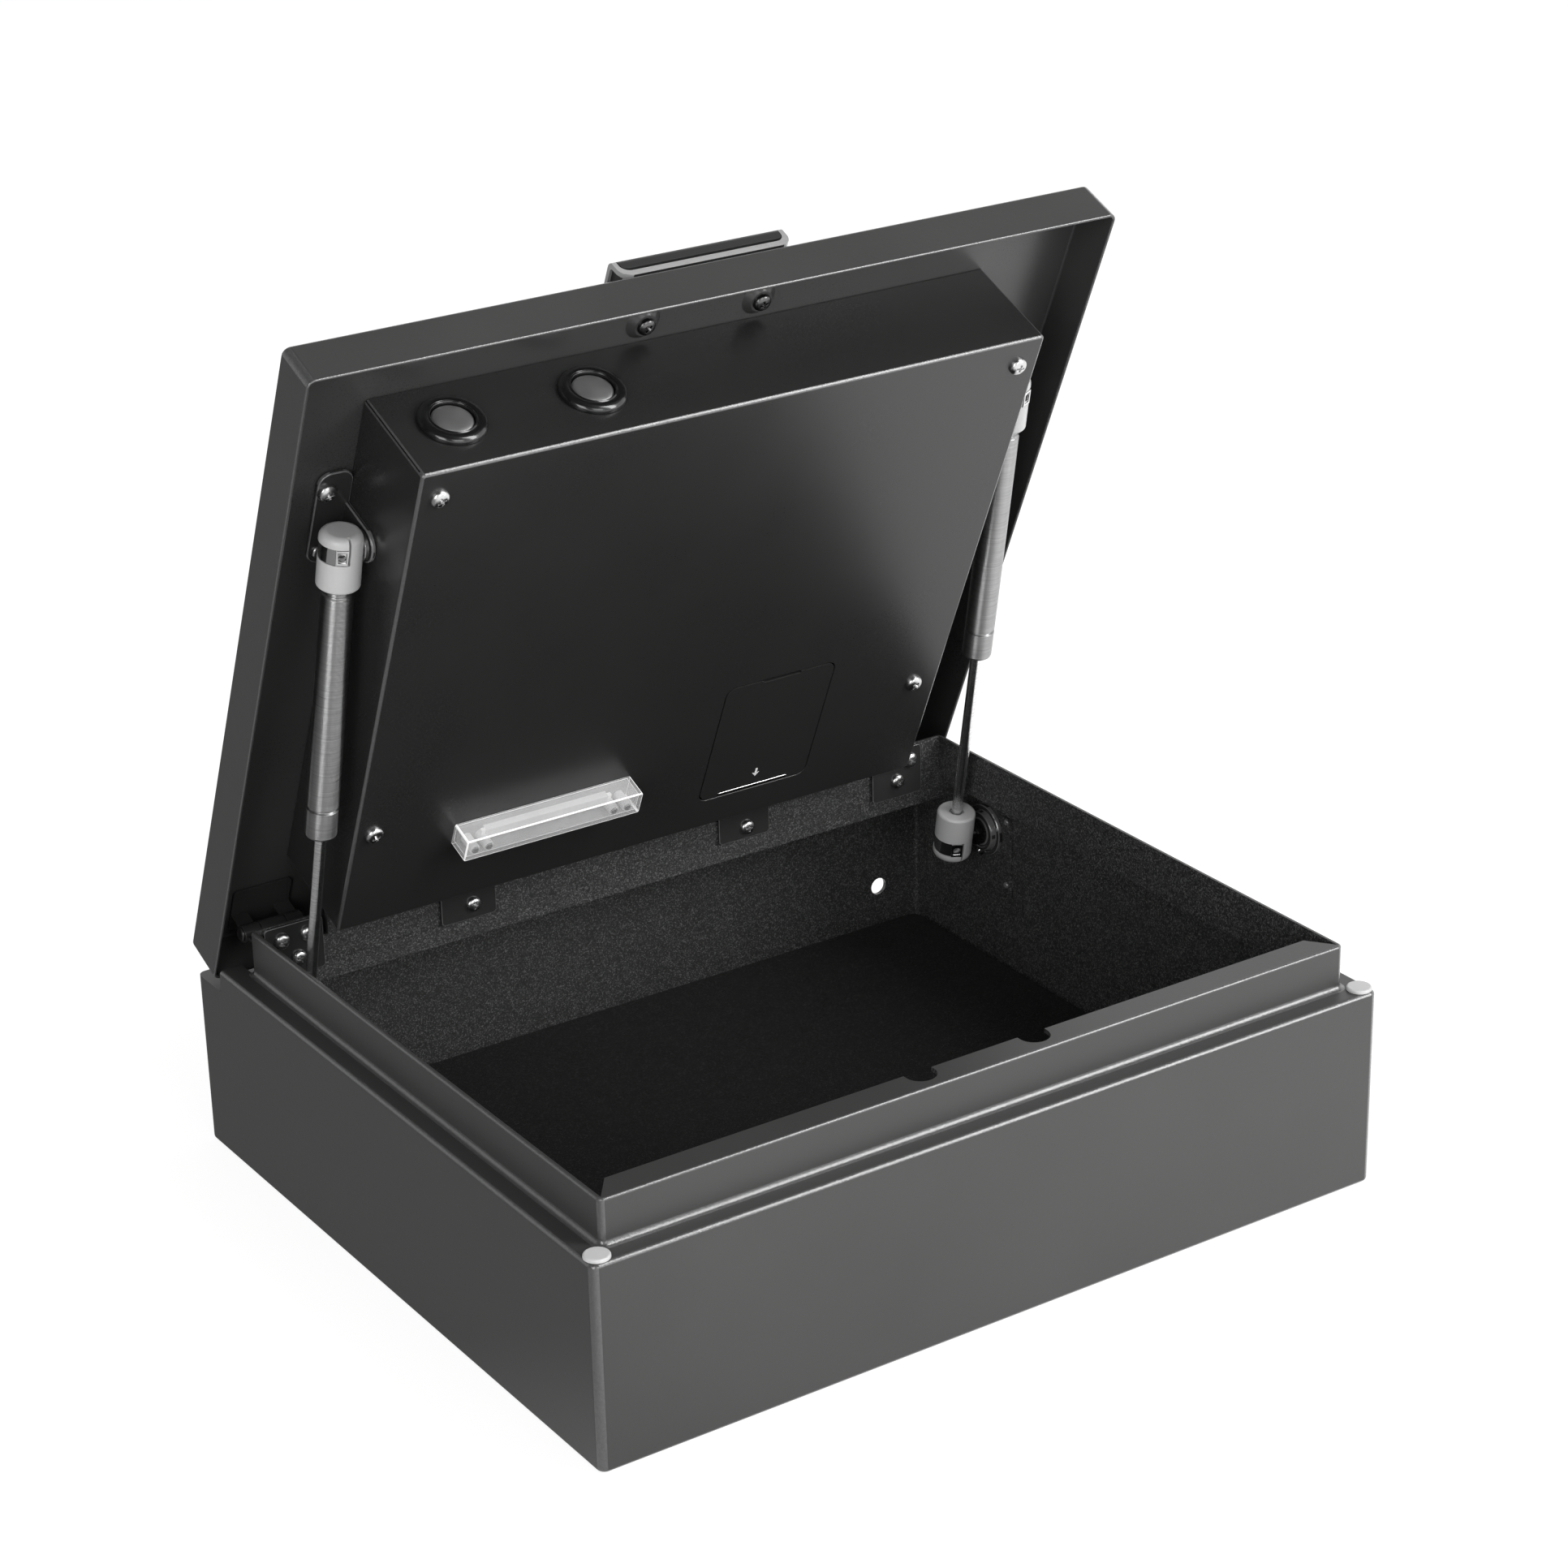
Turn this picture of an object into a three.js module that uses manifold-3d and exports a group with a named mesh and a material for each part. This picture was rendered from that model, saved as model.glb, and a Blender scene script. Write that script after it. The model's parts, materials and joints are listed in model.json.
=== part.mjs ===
// Portable car safe: a sheet-steel box with a raised collar, and a lid on two gas struts that
// carries the motor lock, the batteries, the light and the control panel.
// Millimetres. The origin is the middle of the underside, +X to the right seen from the front,
// +Y to the back, +Z up. The lid stands open, as far as its struts reach.
// Lid pieces are written where they lie with the lid shut, and one group turns them open.
import * as THREE from 'three';
import { mergeVertices } from 'three/addons/utils/BufferGeometryUtils.js';
import Module from 'manifold-3d';

const wasm = await Module();
wasm.setup();

// Box and collar
const body_width = 400;
const body_depth = 343;
const ledge_height = 94;
const sheet = 2;
const corner_radius = 4;
const bend_radius = 1.5;
const collar_inset = 11;
const collar_height = 20.7;
const collar_radius = 3;
const channel_depth = 35;
const channel_drop = 10.5;
const step_length = 24.5;
const flange_depth = 14;
const flange_end_slope = 9;
const flange_notch_radius = 7;
const flange_notch_depth = 9;
const cable_hole_radius = 4.4;
const cable_hole_height = 23.7;
const cable_hole_inset = 25.8;
const edge_break = 0.6;
const strip_width = 7;
const strip_sheet = 1.5;
const strip_length = 42;
const strip_drop = 11;
const strip_gap = 1.5;

// Clearances
const seat_gap = 0.3;
const running_gap = 0.4;
const overrun = 5;

// Floor mat and bumpers
const mat_thickness = 3;
const mat_margin = 3;
const mat_corner_radius = 6;
const bumper_radius = 5.6;
const bumper_inset = 5.9;

// Lid
const lid_height = 23.1;
const lid_sheet = 1.5;
const lid_lift = 2;
const open_angle_degrees = 66.2;
const hinge_behind_collar = 19.1;
const hinge_drop = 15;

// Hinges: the two outer leaves are tall corner plates, the two inner ones are low
const hinge_pin_radius = 2;
const hinge_knuckle_radius = 4.2;
const hinge_leaf_sheet = 1.5;
const hinge_pin_head = 1.2;
const hinge_pin_head_radius = 3;
const hinge_web_gap = 0.8;
const corner_leaf_width = 29;
const corner_leaf_height = 25;
const corner_leaf_from_left = 16.5;
const inner_leaf_width = 28.5;
const inner_leaf_height = 18;
const inner_leaf_from_left = 105.5;
const inner_leaf_from_right = 115;
const corner_leaf_from_right = 25.2;
const band_notch_width = 3.2;
const band_notch_depth = 11;
const leaf_below_axis = 12.8;
const leaf_corner_radius = 2;
const lid_leaf_front = 15;
const lid_leaf_back = 10;
const hinge_middle_share = 0.42;

// Housing under the lid
const housing_left = 41.5;
const housing_right = 48.5;
const housing_front = 35.5;
const housing_back = 44;
const housing_drop = 51.5;
const housing_sheet = 1.5;
const housing_bend = 1.6;
const housing_corner_radius = 2;
const post_radius = 4;
const post_hole_radius = 1.6;
const post_hole_depth = 12;
const cover_hole_radius = 2.4;
const post_front = 49.5;
const post_from_back = 103.4;
const post_left = 51.3;
const post_right = 61;

// Lock: two bolts on one carriage, driven by a rack and pinion
const bolt_radius = 9;
const bolt_below_lid = 25.2;
const bolt_one_from_left = 69.1;
const bolt_spacing = 66;
const bolt_length = 43;
const bolt_neck_radius = 5;
const bolt_throw = 18;
const bolt_recess = 0.9;
const bolt_chamfer = 0.8;
const ring_radius = 14.8;
const ring_sleeve_radius = 10.9;
const ring_flange = 3;
const ring_sleeve_length = 8;
const carriage_thickness = 8;
const carriage_height = 14;
const carriage_margin = 9;
const nut_radius = 7;
const nut_thickness = 2;
const gear_module = 1.25;
const pinion_teeth = 14;
const rack_teeth = 7;
const tooth_share = 0.4;
const tooth_root_share = 1.25;
const tooth_spread_shares = [1.45, 1, 0.45];
const pressure_angle_degrees = 20;
const rack_height = 6;
const rack_web = 4;
const pinion_bore_radius = 2.2;
const pinion_width = 7;
const chassis_sheet = 2;
const chassis_left = 58;
const chassis_width = 92;
const chassis_front = 45;
const chassis_depth = 90;
const chassis_drop = 34;
const gearbox_size = 22;
const gearbox_height = 13;
const motor_radius = 6;
const motor_length = 24;
const keeper_sheet = 2;
const keeper_margin = 17;
const keeper_drop = 34;
const keeper_hole_gap = 0.8;

// Circuit board
const board_from_left = 172;
const board_from_right = 72;
const board_front = 62;
const board_depth = 108;
const board_thickness = 1.6;
const board_standoff = 7;
const board_standoff_radius = 3;
const board_margin = 6;
const chip_size = 14;
const chip_height = 2.4;
const buzzer_radius = 8;
const buzzer_height = 7;

// Batteries and their door
const door_offset = 56.4;
const door_width = 58.8;
const door_from_back = 62.7;
const door_length = 70.8;
const door_sheet = 1.5;
const door_gap = 0.5;
const door_corner_radius = 5;
const door_finger_width = 38;
const door_finger_depth = 3;
const door_tab_width = 10;
const door_tab_reach = 3;
const door_tab_thickness = 1.2;
const box_wall = 1.5;
const box_margin = 3;
const box_depth = 20;
const cell_radius = 7.1;
const cell_length = 49.5;
const cell_nub_radius = 2.7;
const cell_nub_length = 1;
const cell_count = 4;

// Light bar
const light_offset = -62.25;
const light_width = 90.7;
const light_from_back = 82.4;
const light_depth = 12.1;
const light_height = 12.2;
const light_wall = 1.4;
const light_corner_radius = 1.5;
const light_board_thickness = 1.6;
const light_wire_radius = 2.5;
const led_size = 5;
const led_height = 1.2;
const led_count = 6;

// Control panel on the front edge of the lid's top
const panel_offset = 0.5;
const panel_width = 85;
const panel_depth = 50;
const panel_height = 13.4;
const panel_band = 4.9;
const panel_rim = 2.2;
const panel_setback = 0.3;
const panel_corner_radius = 5;
const panel_top_radius = 3.6;
const panel_rear_drop = 6;
const panel_rear_slope = 16;
const insert_crown = 0.5;
const panel_screw_spacing = 58;
const panel_screw_setback = 25.3;
const panel_screw_radius = 2;
const panel_screw_head_radius = 4;
const panel_screw_head = 2;
const panel_screw_grip = 2.5;
const screw_boss_radius = 7.5;
const screw_boss_top_radius = 5.2;
const screw_boss_height = 2.6;

// Gas struts
const strut_low_inset = 22.5;
const strut_high_inset = 29.2;
const strut_base_from_back = 61.6;
const strut_base_drop = 23.4;
const strut_lid_from_front = 95.6;
const strut_lid_below_panel = 20.1;
const ball_radius = 5;
const ball_gap = 0.4;
const socket_radius = 9.4;
const socket_end = 9.1;
const socket_length = 26;
const socket_flat = 7.6;
const socket_edge = 2.4;
const clip_radius = 8.9;
const clip_sheet = 1;
const clip_height = 5.6;
const clip_spread_degrees = 150;
const strut_tube_radius = 7;
const strut_tube_wall = 1.2;
const strut_tube_neck_radius = 6.1;
const strut_tube_neck = 3;
const strut_closed_gap = 29.6;
const strut_gland_length = 8;
const strut_groove_from_end = 15;
const strut_groove = 0.5;
const strut_rod_radius = 2.6;
const strut_piston_length = 6;
const stud_neck_radius = 2.8;
const stud_flange_radius = 7;
const stud_flange = 2;
const wall_mount_radius = 13;
const wall_mount_sheet = 2;
const wall_mount_boss_radius = 10;
const wall_mount_boss = 2.5;
const wall_mount_hex_radius = 6;
const wall_mount_hex = 5;
const bracket_sheet = 2;
const bracket_length = 48;
const bracket_from_side = 25;
const bracket_ear_gap = 0.8;
const bracket_ear_radius = 8;
const bracket_ear_foot = 20;
const bracket_ear_tilt_degrees = 18;
const bracket_front = 70;
const bracket_corner_radius = 6;

// Facets
const large_steps = 24;
const round_steps = 16;
const small_steps = 12;
const corner_steps = 3;
const bend_steps = 2;

// Worked out from the sizes above
const left = -body_width / 2;
const right = body_width / 2;
const front = -body_depth / 2;
const back = body_depth / 2;
const collar_top = ledge_height + collar_height;
const collar_left = left + collar_inset;
const collar_right = right - collar_inset;
const collar_front = front + collar_inset;
const collar_back = back - channel_depth;
const channel_floor = ledge_height - channel_drop;
const lid_bottom = ledge_height + lid_lift;
const lid_top = lid_bottom + lid_height;
const lid_under = lid_top - lid_sheet;
const hinge_y = collar_back + hinge_behind_collar;
const hinge_z = lid_top - hinge_drop;
const open_angle = THREE.MathUtils.degToRad(open_angle_degrees);
const plate_outer = lid_top - housing_drop;
const plate_inner = plate_outer + housing_sheet;
const cover_top = lid_under - seat_gap;
const cover_left = left + housing_left;
const cover_right = right - housing_right;
const cover_front = front + housing_front;
const cover_back = back - housing_back;
const bumper_height = lid_lift - seat_gap;
const bolt_z = lid_top - bolt_below_lid;
const bolt_places = [left + bolt_one_from_left, left + bolt_one_from_left + bolt_spacing];
const screw_y = front + panel_screw_setback;
const panel_left = panel_offset - panel_width / 2;
const door_left = door_offset - door_width / 2;
const door_front = back - door_from_back - door_length;
const light_left = light_offset - light_width / 2;
const light_front = back - light_from_back - light_depth;
const strut_base_y = back - strut_base_from_back;
const strut_base_z = ledge_height - strut_base_drop;

// Finishes
const coat = { color: 0x3c3d3f, roughness: 0.55, metalness: 0.35 };
const dark_coat = { color: 0x232425, roughness: 0.5, metalness: 0.35 };
const felt = { color: 0x151515, roughness: 1, metalness: 0 };
const clear_bumper = { color: 0xbdbdbd, roughness: 0.35, metalness: 0 };
const zinc = { color: 0x8e9093, roughness: 0.35, metalness: 0.9 };
const polished = { color: 0xb8babd, roughness: 0.2, metalness: 1 };
const black_plastic = { color: 0x141414, roughness: 0.45, metalness: 0 };
const grey_plastic = { color: 0x9a9a9a, roughness: 0.45, metalness: 0 };
const satin_silver = { color: 0xb4b5b7, roughness: 0.35, metalness: 0.8 };
const frosted = { color: 0xc9cbcd, roughness: 0.4, metalness: 0 };
const board_green = { color: 0x1f4a33, roughness: 0.5, metalness: 0 };
const cell_wrap = { color: 0x30343a, roughness: 0.35, metalness: 0.2 };

// A closed body of triangles as a solid that can be joined and cut
function solidOf(geometry) {
  const bare = geometry.clone();
  bare.deleteAttribute('normal');
  bare.deleteAttribute('uv');
  const merged = mergeVertices(bare);
  const points = Float32Array.from(merged.attributes.position.array);
  const faces = Uint32Array.from(merged.index.array);
  if (signedVolume(points, faces) < 0) {
    for (let i = 0; i < faces.length; i += 3) {
      [faces[i], faces[i + 1]] = [faces[i + 1], faces[i]];
    }
  }
  return new wasm.Manifold(new wasm.Mesh({ numProp: 3, vertProperties: points, triVerts: faces }));
}

function signedVolume(points, faces) {
  const corner = (k) => new THREE.Vector3().fromArray(points, 3 * faces[k]);
  let sum = 0;
  for (let i = 0; i < faces.length; i += 3) {
    sum += corner(i).dot(corner(i + 1).cross(corner(i + 2)));
  }
  return sum;
}

function geometryOf(solid) {
  const mesh = solid.getMesh();
  const geometry = new THREE.BufferGeometry();
  const places = new Float32Array(mesh.numVert * 3);
  for (let i = 0; i < mesh.numVert; i += 1) {
    for (let k = 0; k < 3; k += 1) {
      places[3 * i + k] = mesh.vertProperties[i * mesh.numProp + k];
    }
  }
  geometry.setAttribute('position', new THREE.BufferAttribute(places, 3));
  geometry.setIndex(new THREE.BufferAttribute(Uint32Array.from(mesh.triVerts), 1));
  const flat = geometry.toNonIndexed();
  flat.computeVertexNormals();
  return flat;
}

const join = (...solids) => solids.reduce((sum, next) => sum.add(next));
const cut = (body, ...tools) => tools.reduce((rest, tool) => rest.subtract(tool), body);

// A square-edged block between two corners
function block(x0, x1, y0, y1, z0, z1) {
  const geometry = new THREE.BoxGeometry(x1 - x0, y1 - y0, z1 - z0);
  geometry.translate((x0 + x1) / 2, (y0 + y1) / 2, (z0 + z1) / 2);
  return solidOf(geometry);
}

// The points of a rectangle with round corners at one height
function roundRing(x0, x1, y0, y1, radius, z) {
  const corners = [
    [x1 - radius, y1 - radius, 0],
    [x0 + radius, y1 - radius, 1],
    [x0 + radius, y0 + radius, 2],
    [x1 - radius, y0 + radius, 3],
  ];
  return corners.flatMap(([cx, cy, quarter]) => {
    const arc = [];
    for (let i = 0; i <= corner_steps; i += 1) {
      const angle = (Math.PI / 2) * (quarter + i / corner_steps);
      arc.push([cx + radius * Math.cos(angle), cy + radius * Math.sin(angle), z]);
    }
    return arc;
  });
}

// A closed body through rings that all have the same number of points
function loft(rings) {
  const count = rings[0].length;
  const index = [];
  for (let ring = 0; ring + 1 < rings.length; ring += 1) {
    for (let i = 0; i < count; i += 1) {
      const a = ring * count + i;
      const b = ring * count + ((i + 1) % count);
      index.push(a, b, b + count, a, b + count, a + count);
    }
  }
  const last = (rings.length - 1) * count;
  for (let i = 1; i + 1 < count; i += 1) {
    index.push(0, i + 1, i, last, last + i, last + i + 1);
  }
  const geometry = new THREE.BufferGeometry();
  geometry.setAttribute('position', new THREE.Float32BufferAttribute(rings.flat(2), 3));
  geometry.setIndex(index);
  return solidOf(geometry);
}

// A block with upright round corners, and with its low and high edges bent to a radius
function roundBlock(x0, x1, y0, y1, z0, z1, corner, low_edge = 0, high_edge = 0) {
  const rings = [];
  const ring = (inset, z) => {
    const radius = corner - inset;
    rings.push(roundRing(x0 + inset, x1 - inset, y0 + inset, y1 - inset, radius, z));
  };
  for (let i = low_edge > 0 ? 0 : bend_steps; i <= bend_steps; i += 1) {
    const angle = (Math.PI / 2) * (i / bend_steps);
    ring(low_edge * (1 - Math.sin(angle)), z0 + low_edge * (1 - Math.cos(angle)));
  }
  for (let i = 0; i <= (high_edge > 0 ? bend_steps : 0); i += 1) {
    const angle = (Math.PI / 2) * (i / bend_steps);
    ring(high_edge * (1 - Math.cos(angle)), z1 - high_edge * (1 - Math.sin(angle)));
  }
  return loft(rings);
}

// A flat outline, given as points or as a shape, pulled along X, Y or Z. Each arc has some steps.
function pulled(outline, axis, from, to, steps = corner_steps) {
  const shape = Array.isArray(outline) ? new THREE.Shape(outline.map((p) => new THREE.Vector2(...p)))
    : outline;
  const geometry = new THREE.ExtrudeGeometry(shape, {
    depth: to - from,
    bevelEnabled: false,
    curveSegments: steps,
  });
  const basis = new THREE.Matrix4();
  const X = new THREE.Vector3(1, 0, 0);
  const Y = new THREE.Vector3(0, 1, 0);
  const Z = new THREE.Vector3(0, 0, 1);
  if (axis === 'x') {
    basis.makeBasis(Y, Z, X).setPosition(from, 0, 0);
  } else if (axis === 'y') {
    basis.makeBasis(X, Z, Y.negate()).setPosition(0, to, 0);
  } else {
    basis.setPosition(0, 0, from);
  }
  geometry.applyMatrix4(basis);
  return solidOf(geometry);
}

// A turned piece: its profile is [radius, distance] along a direction from a centre
function turned(profile, centre, direction, steps = round_steps) {
  const geometry = new THREE.LatheGeometry(profile.map((p) => new THREE.Vector2(...p)), steps);
  const turn = new THREE.Quaternion().setFromUnitVectors(
    new THREE.Vector3(0, 1, 0),
    new THREE.Vector3(...direction),
  );
  geometry.applyQuaternion(turn);
  geometry.translate(...centre);
  return solidOf(geometry);
}

// A plain round bar from one distance to another along a direction
function bar(radius, centre, direction, from, to, steps = round_steps) {
  return turned([[0, from], [radius, from], [radius, to], [0, to]], centre, direction, steps);
}

function roundRectShape(x0, x1, y0, y1, radius) {
  const shape = new THREE.Shape();
  shape.moveTo(x0 + radius, y0);
  shape.lineTo(x1 - radius, y0);
  shape.absarc(x1 - radius, y0 + radius, radius, -Math.PI / 2, 0);
  shape.lineTo(x1, y1 - radius);
  shape.absarc(x1 - radius, y1 - radius, radius, 0, Math.PI / 2);
  shape.lineTo(x0 + radius, y1);
  shape.absarc(x0 + radius, y1 - radius, radius, Math.PI / 2, Math.PI);
  shape.lineTo(x0, y0 + radius);
  shape.absarc(x0 + radius, y0 + radius, radius, Math.PI, 1.5 * Math.PI);
  return shape;
}

function place(group, name, solid, finish) {
  const mesh = new THREE.Mesh(geometryOf(solid), new THREE.MeshStandardMaterial(finish));
  mesh.name = name;
  group.add(mesh);
}

const safe = new THREE.Group();
const lid_turn = new THREE.Group();
const lid = new THREE.Group();
lid_turn.position.set(0, hinge_y, hinge_z);
lid_turn.rotation.x = -open_angle;
lid.position.set(0, -hinge_y, -hinge_z);
lid_turn.add(lid);
safe.add(lid_turn);

// Where the four hinges stand: left edge, width, whether the leaf is a tall corner plate, and on
// which side of it the band has a notch
const hinge_places = [
  { x: left + corner_leaf_from_left, width: corner_leaf_width, tall: true, notch: 1 },
  { x: left + inner_leaf_from_left, width: inner_leaf_width, tall: false, notch: -1 },
  {
    x: right - inner_leaf_from_right - inner_leaf_width,
    width: inner_leaf_width,
    tall: false,
    notch: 1,
  },
  {
    x: right - corner_leaf_from_right - corner_leaf_width,
    width: corner_leaf_width,
    tall: true,
    notch: -1,
  },
];

// The outer box: floor, walls, the ledge round the collar and the low channel behind it
function baseShell() {
  const body = roundBlock(left, right, front, back, 0, ledge_height, corner_radius, bend_radius,
    bend_radius);
  const inner_radius = corner_radius - sheet;
  const ledge_under = ledge_height - sheet;
  const channel_under = channel_floor - sheet;
  const room_back = collar_back + seat_gap;
  const low_room = roundBlock(left + sheet, right - sheet, front + sheet, back - sheet, sheet,
    channel_under, inner_radius);
  const high_room = block(left + sheet, right - sheet, front + sheet, room_back,
    channel_under - sheet, ledge_under);
  const pockets = [-1, 1].map((side) => {
    const outer = side * (right - sheet);
    const inner = side * (collar_right + seat_gap + sheet);
    return block(Math.min(outer, inner), Math.max(outer, inner), room_back - sheet,
      back - step_length - sheet, channel_under - sheet, ledge_under);
  });
  const mouth = block(collar_left - seat_gap, collar_right + seat_gap, collar_front - seat_gap,
    room_back, ledge_under - sheet, ledge_height + overrun);
  const channel = block(collar_left - seat_gap, collar_right + seat_gap, room_back - sheet,
    back + overrun, channel_floor, ledge_height + overrun);
  const notch = block(left - overrun, right + overrun, back - step_length, back + overrun,
    channel_floor, ledge_height + overrun);
  const cable_hole = bar(cable_hole_radius, [right - cable_hole_inset, back, cable_hole_height],
    [0, 1, 0], -sheet - overrun, overrun);
  const strips = [-1, 1].map((side) => {
    const wall = side * (right - sheet / 2);
    const face = side * (right - sheet - strip_sheet);
    const strip_back = strut_base_y - wall_mount_radius - strip_gap;
    const strip_top = ledge_height - strip_drop;
    return block(Math.min(wall, face), Math.max(wall, face), strip_back - strip_width,
      strip_back, strip_top - strip_length, strip_top);
  });
  const shell = cut(body, low_room, high_room, ...pockets, mouth, channel, notch, cable_hole);
  return join(shell, ...strips);
}

// The raised collar that the lid shuts over, with its front flange and hinge band
function collarFrame() {
  const foot = ledge_height - sheet;
  const ring = roundBlock(collar_left, collar_right, collar_front, collar_back, foot, collar_top,
    collar_radius, 0, edge_break);
  const flange_back = collar_front + flange_depth;
  const inner_left = collar_left + sheet;
  const inner_right = collar_right - sheet;
  const inner_front = collar_front + sheet;
  const inner_back = collar_back - sheet;
  const room = block(inner_left, inner_right, flange_back, inner_back, foot - overrun,
    collar_top + overrun);
  const under_flange = block(inner_left, inner_right, inner_front, flange_back + sheet,
    foot - overrun, collar_top - sheet);
  const ends = [-1, 1].map((side) => pulled([
    [side * inner_right, inner_front],
    [side * inner_right, flange_back + sheet],
    [side * (inner_right - flange_end_slope), flange_back + sheet],
    [side * (inner_right - flange_end_slope), flange_back],
  ], 'z', foot, collar_top + overrun));
  const notches = [-1, 1].flatMap((side) => {
    const x = panel_offset + side * (panel_screw_spacing / 2);
    const y = flange_back - flange_notch_depth + flange_notch_radius;
    return [
      bar(flange_notch_radius, [x, y, collar_top], [0, 0, 1], -overrun, overrun),
      block(x - flange_notch_radius, x + flange_notch_radius, y, flange_back + sheet,
        collar_top - overrun, collar_top + overrun),
    ];
  });
  const band = block(collar_left + collar_radius, collar_right - collar_radius, inner_back,
    collar_back, channel_floor - sheet, foot + sheet);
  const windows = hinge_places.map((hinge) => {
    const half = hinge_leaf_sheet / 2 + running_gap;
    return block(hinge.x - running_gap, hinge.x + hinge.width + running_gap, inner_back - sheet,
      collar_back + sheet, hinge_z - half, hinge_z + half);
  });
  const leaf_notches = hinge_places.map((hinge) => {
    const edge = hinge.notch > 0 ? hinge.x + hinge.width : hinge.x - band_notch_width;
    return block(edge, edge + band_notch_width, inner_back - sheet, collar_back + sheet,
      collar_top - band_notch_depth, collar_top + overrun);
  });
  return cut(join(cut(ring, room, under_flange, ...ends, ...notches), band), ...windows,
    ...leaf_notches);
}

function floorMat() {
  return roundBlock(left + sheet + mat_margin, right - sheet - mat_margin,
    front + sheet + mat_margin, back - sheet - mat_margin, sheet, sheet + mat_thickness,
    mat_corner_radius, 0, edge_break);
}

function bumper(side) {
  const centre = [side * (right - bumper_inset), front + bumper_inset, ledge_height];
  return turned([
    [0, 0],
    [bumper_radius, 0],
    [bumper_radius, bumper_height - edge_break],
    [bumper_radius - edge_break, bumper_height],
    [0, bumper_height],
  ], centre, [0, 0, 1]);
}

// The plate behind the front flange whose two holes the bolts shoot into
function boltKeeper() {
  const top = collar_top - sheet - seat_gap;
  const y0 = collar_front + sheet + seat_gap;
  const y1 = collar_front + flange_depth;
  const x0 = bolt_places[0] - keeper_margin;
  const x1 = bolt_places[1] + keeper_margin;
  const foot = block(x0, x1, y0, y1, top - keeper_sheet, top);
  const face = pulled(roundRectShape(x0, x1, top - keeper_drop, top, leaf_corner_radius), 'y',
    y1 - keeper_sheet, y1);
  const holes = bolt_places.map((x) => bar(bolt_radius + keeper_hole_gap, [x, y1, bolt_z],
    [0, 1, 0], -overrun, overrun, large_steps));
  return cut(join(foot, face), ...holes);
}

// A hinge leaf on the collar's band: its web passes through the band to the knuckle
function hingeBaseLeaf({ x, width, tall }) {
  const height = tall ? corner_leaf_height : inner_leaf_height;
  const plate_back = collar_back - sheet - seat_gap;
  const plate_front = plate_back - hinge_leaf_sheet;
  const low = hinge_z - leaf_below_axis - (tall ? leaf_corner_radius : 0);
  const plate = pulled(roundRectShape(x, x + width, low, low + height, leaf_corner_radius), 'y',
    plate_front, plate_back);
  const half = hinge_leaf_sheet / 2;
  const knuckle_half = (width * hinge_middle_share) / 2;
  const middle = x + width / 2;
  const web = block(x, x + width, plate_front, hinge_y - hinge_knuckle_radius - hinge_web_gap,
    hinge_z - half, hinge_z + half);
  const tongue = block(middle - knuckle_half, middle + knuckle_half, plate_back,
    hinge_y, hinge_z - half, hinge_z + half);
  const knuckle = bar(hinge_knuckle_radius, [middle, hinge_y, hinge_z], [1, 0, 0], -knuckle_half,
    knuckle_half, small_steps);
  const bore = bar(hinge_pin_radius + seat_gap, [middle, hinge_y, hinge_z], [1, 0, 0],
    -width, width, small_steps);
  return cut(join(plate, web, tongue, knuckle), bore);
}

// A hinge leaf under the lid's panel, with a knuckle at each end
function hingeLidLeaf({ x, width }) {
  const top = lid_under - seat_gap;
  const under = top - hinge_leaf_sheet;
  const foot = pulled(roundRectShape(x, x + width, hinge_y - lid_leaf_front,
    hinge_y + lid_leaf_back, leaf_corner_radius), 'z', under, top);
  const half = hinge_leaf_sheet / 2;
  const middle = x + width / 2;
  const knuckle_half = (width * hinge_middle_share) / 2 + running_gap;
  const web = block(x, x + width, hinge_y - half, hinge_y + half, hinge_z, under + half);
  const knuckle = bar(hinge_knuckle_radius, [middle, hinge_y, hinge_z], [1, 0, 0], -width / 2,
    width / 2, small_steps);
  const window = block(middle - knuckle_half, middle + knuckle_half,
    hinge_y - hinge_knuckle_radius - overrun, hinge_y + hinge_knuckle_radius + overrun,
    hinge_z - hinge_knuckle_radius - overrun, hinge_z + hinge_knuckle_radius + running_gap);
  const bore = bar(hinge_pin_radius + seat_gap, [middle, hinge_y, hinge_z], [1, 0, 0],
    -width, width, small_steps);
  return cut(join(foot, web, knuckle), window, bore);
}

function hingePin({ x, width }) {
  const half = width / 2 + seat_gap;
  return turned([
    [0, -half - hinge_pin_head],
    [hinge_pin_head_radius, -half - hinge_pin_head],
    [hinge_pin_head_radius, -half],
    [hinge_pin_radius, -half],
    [hinge_pin_radius, half],
    [hinge_pin_head_radius, half],
    [hinge_pin_head_radius, half + hinge_pin_head],
    [0, half + hinge_pin_head],
  ], [x + width / 2, hinge_y, hinge_z], [1, 0, 0], small_steps);
}

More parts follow.
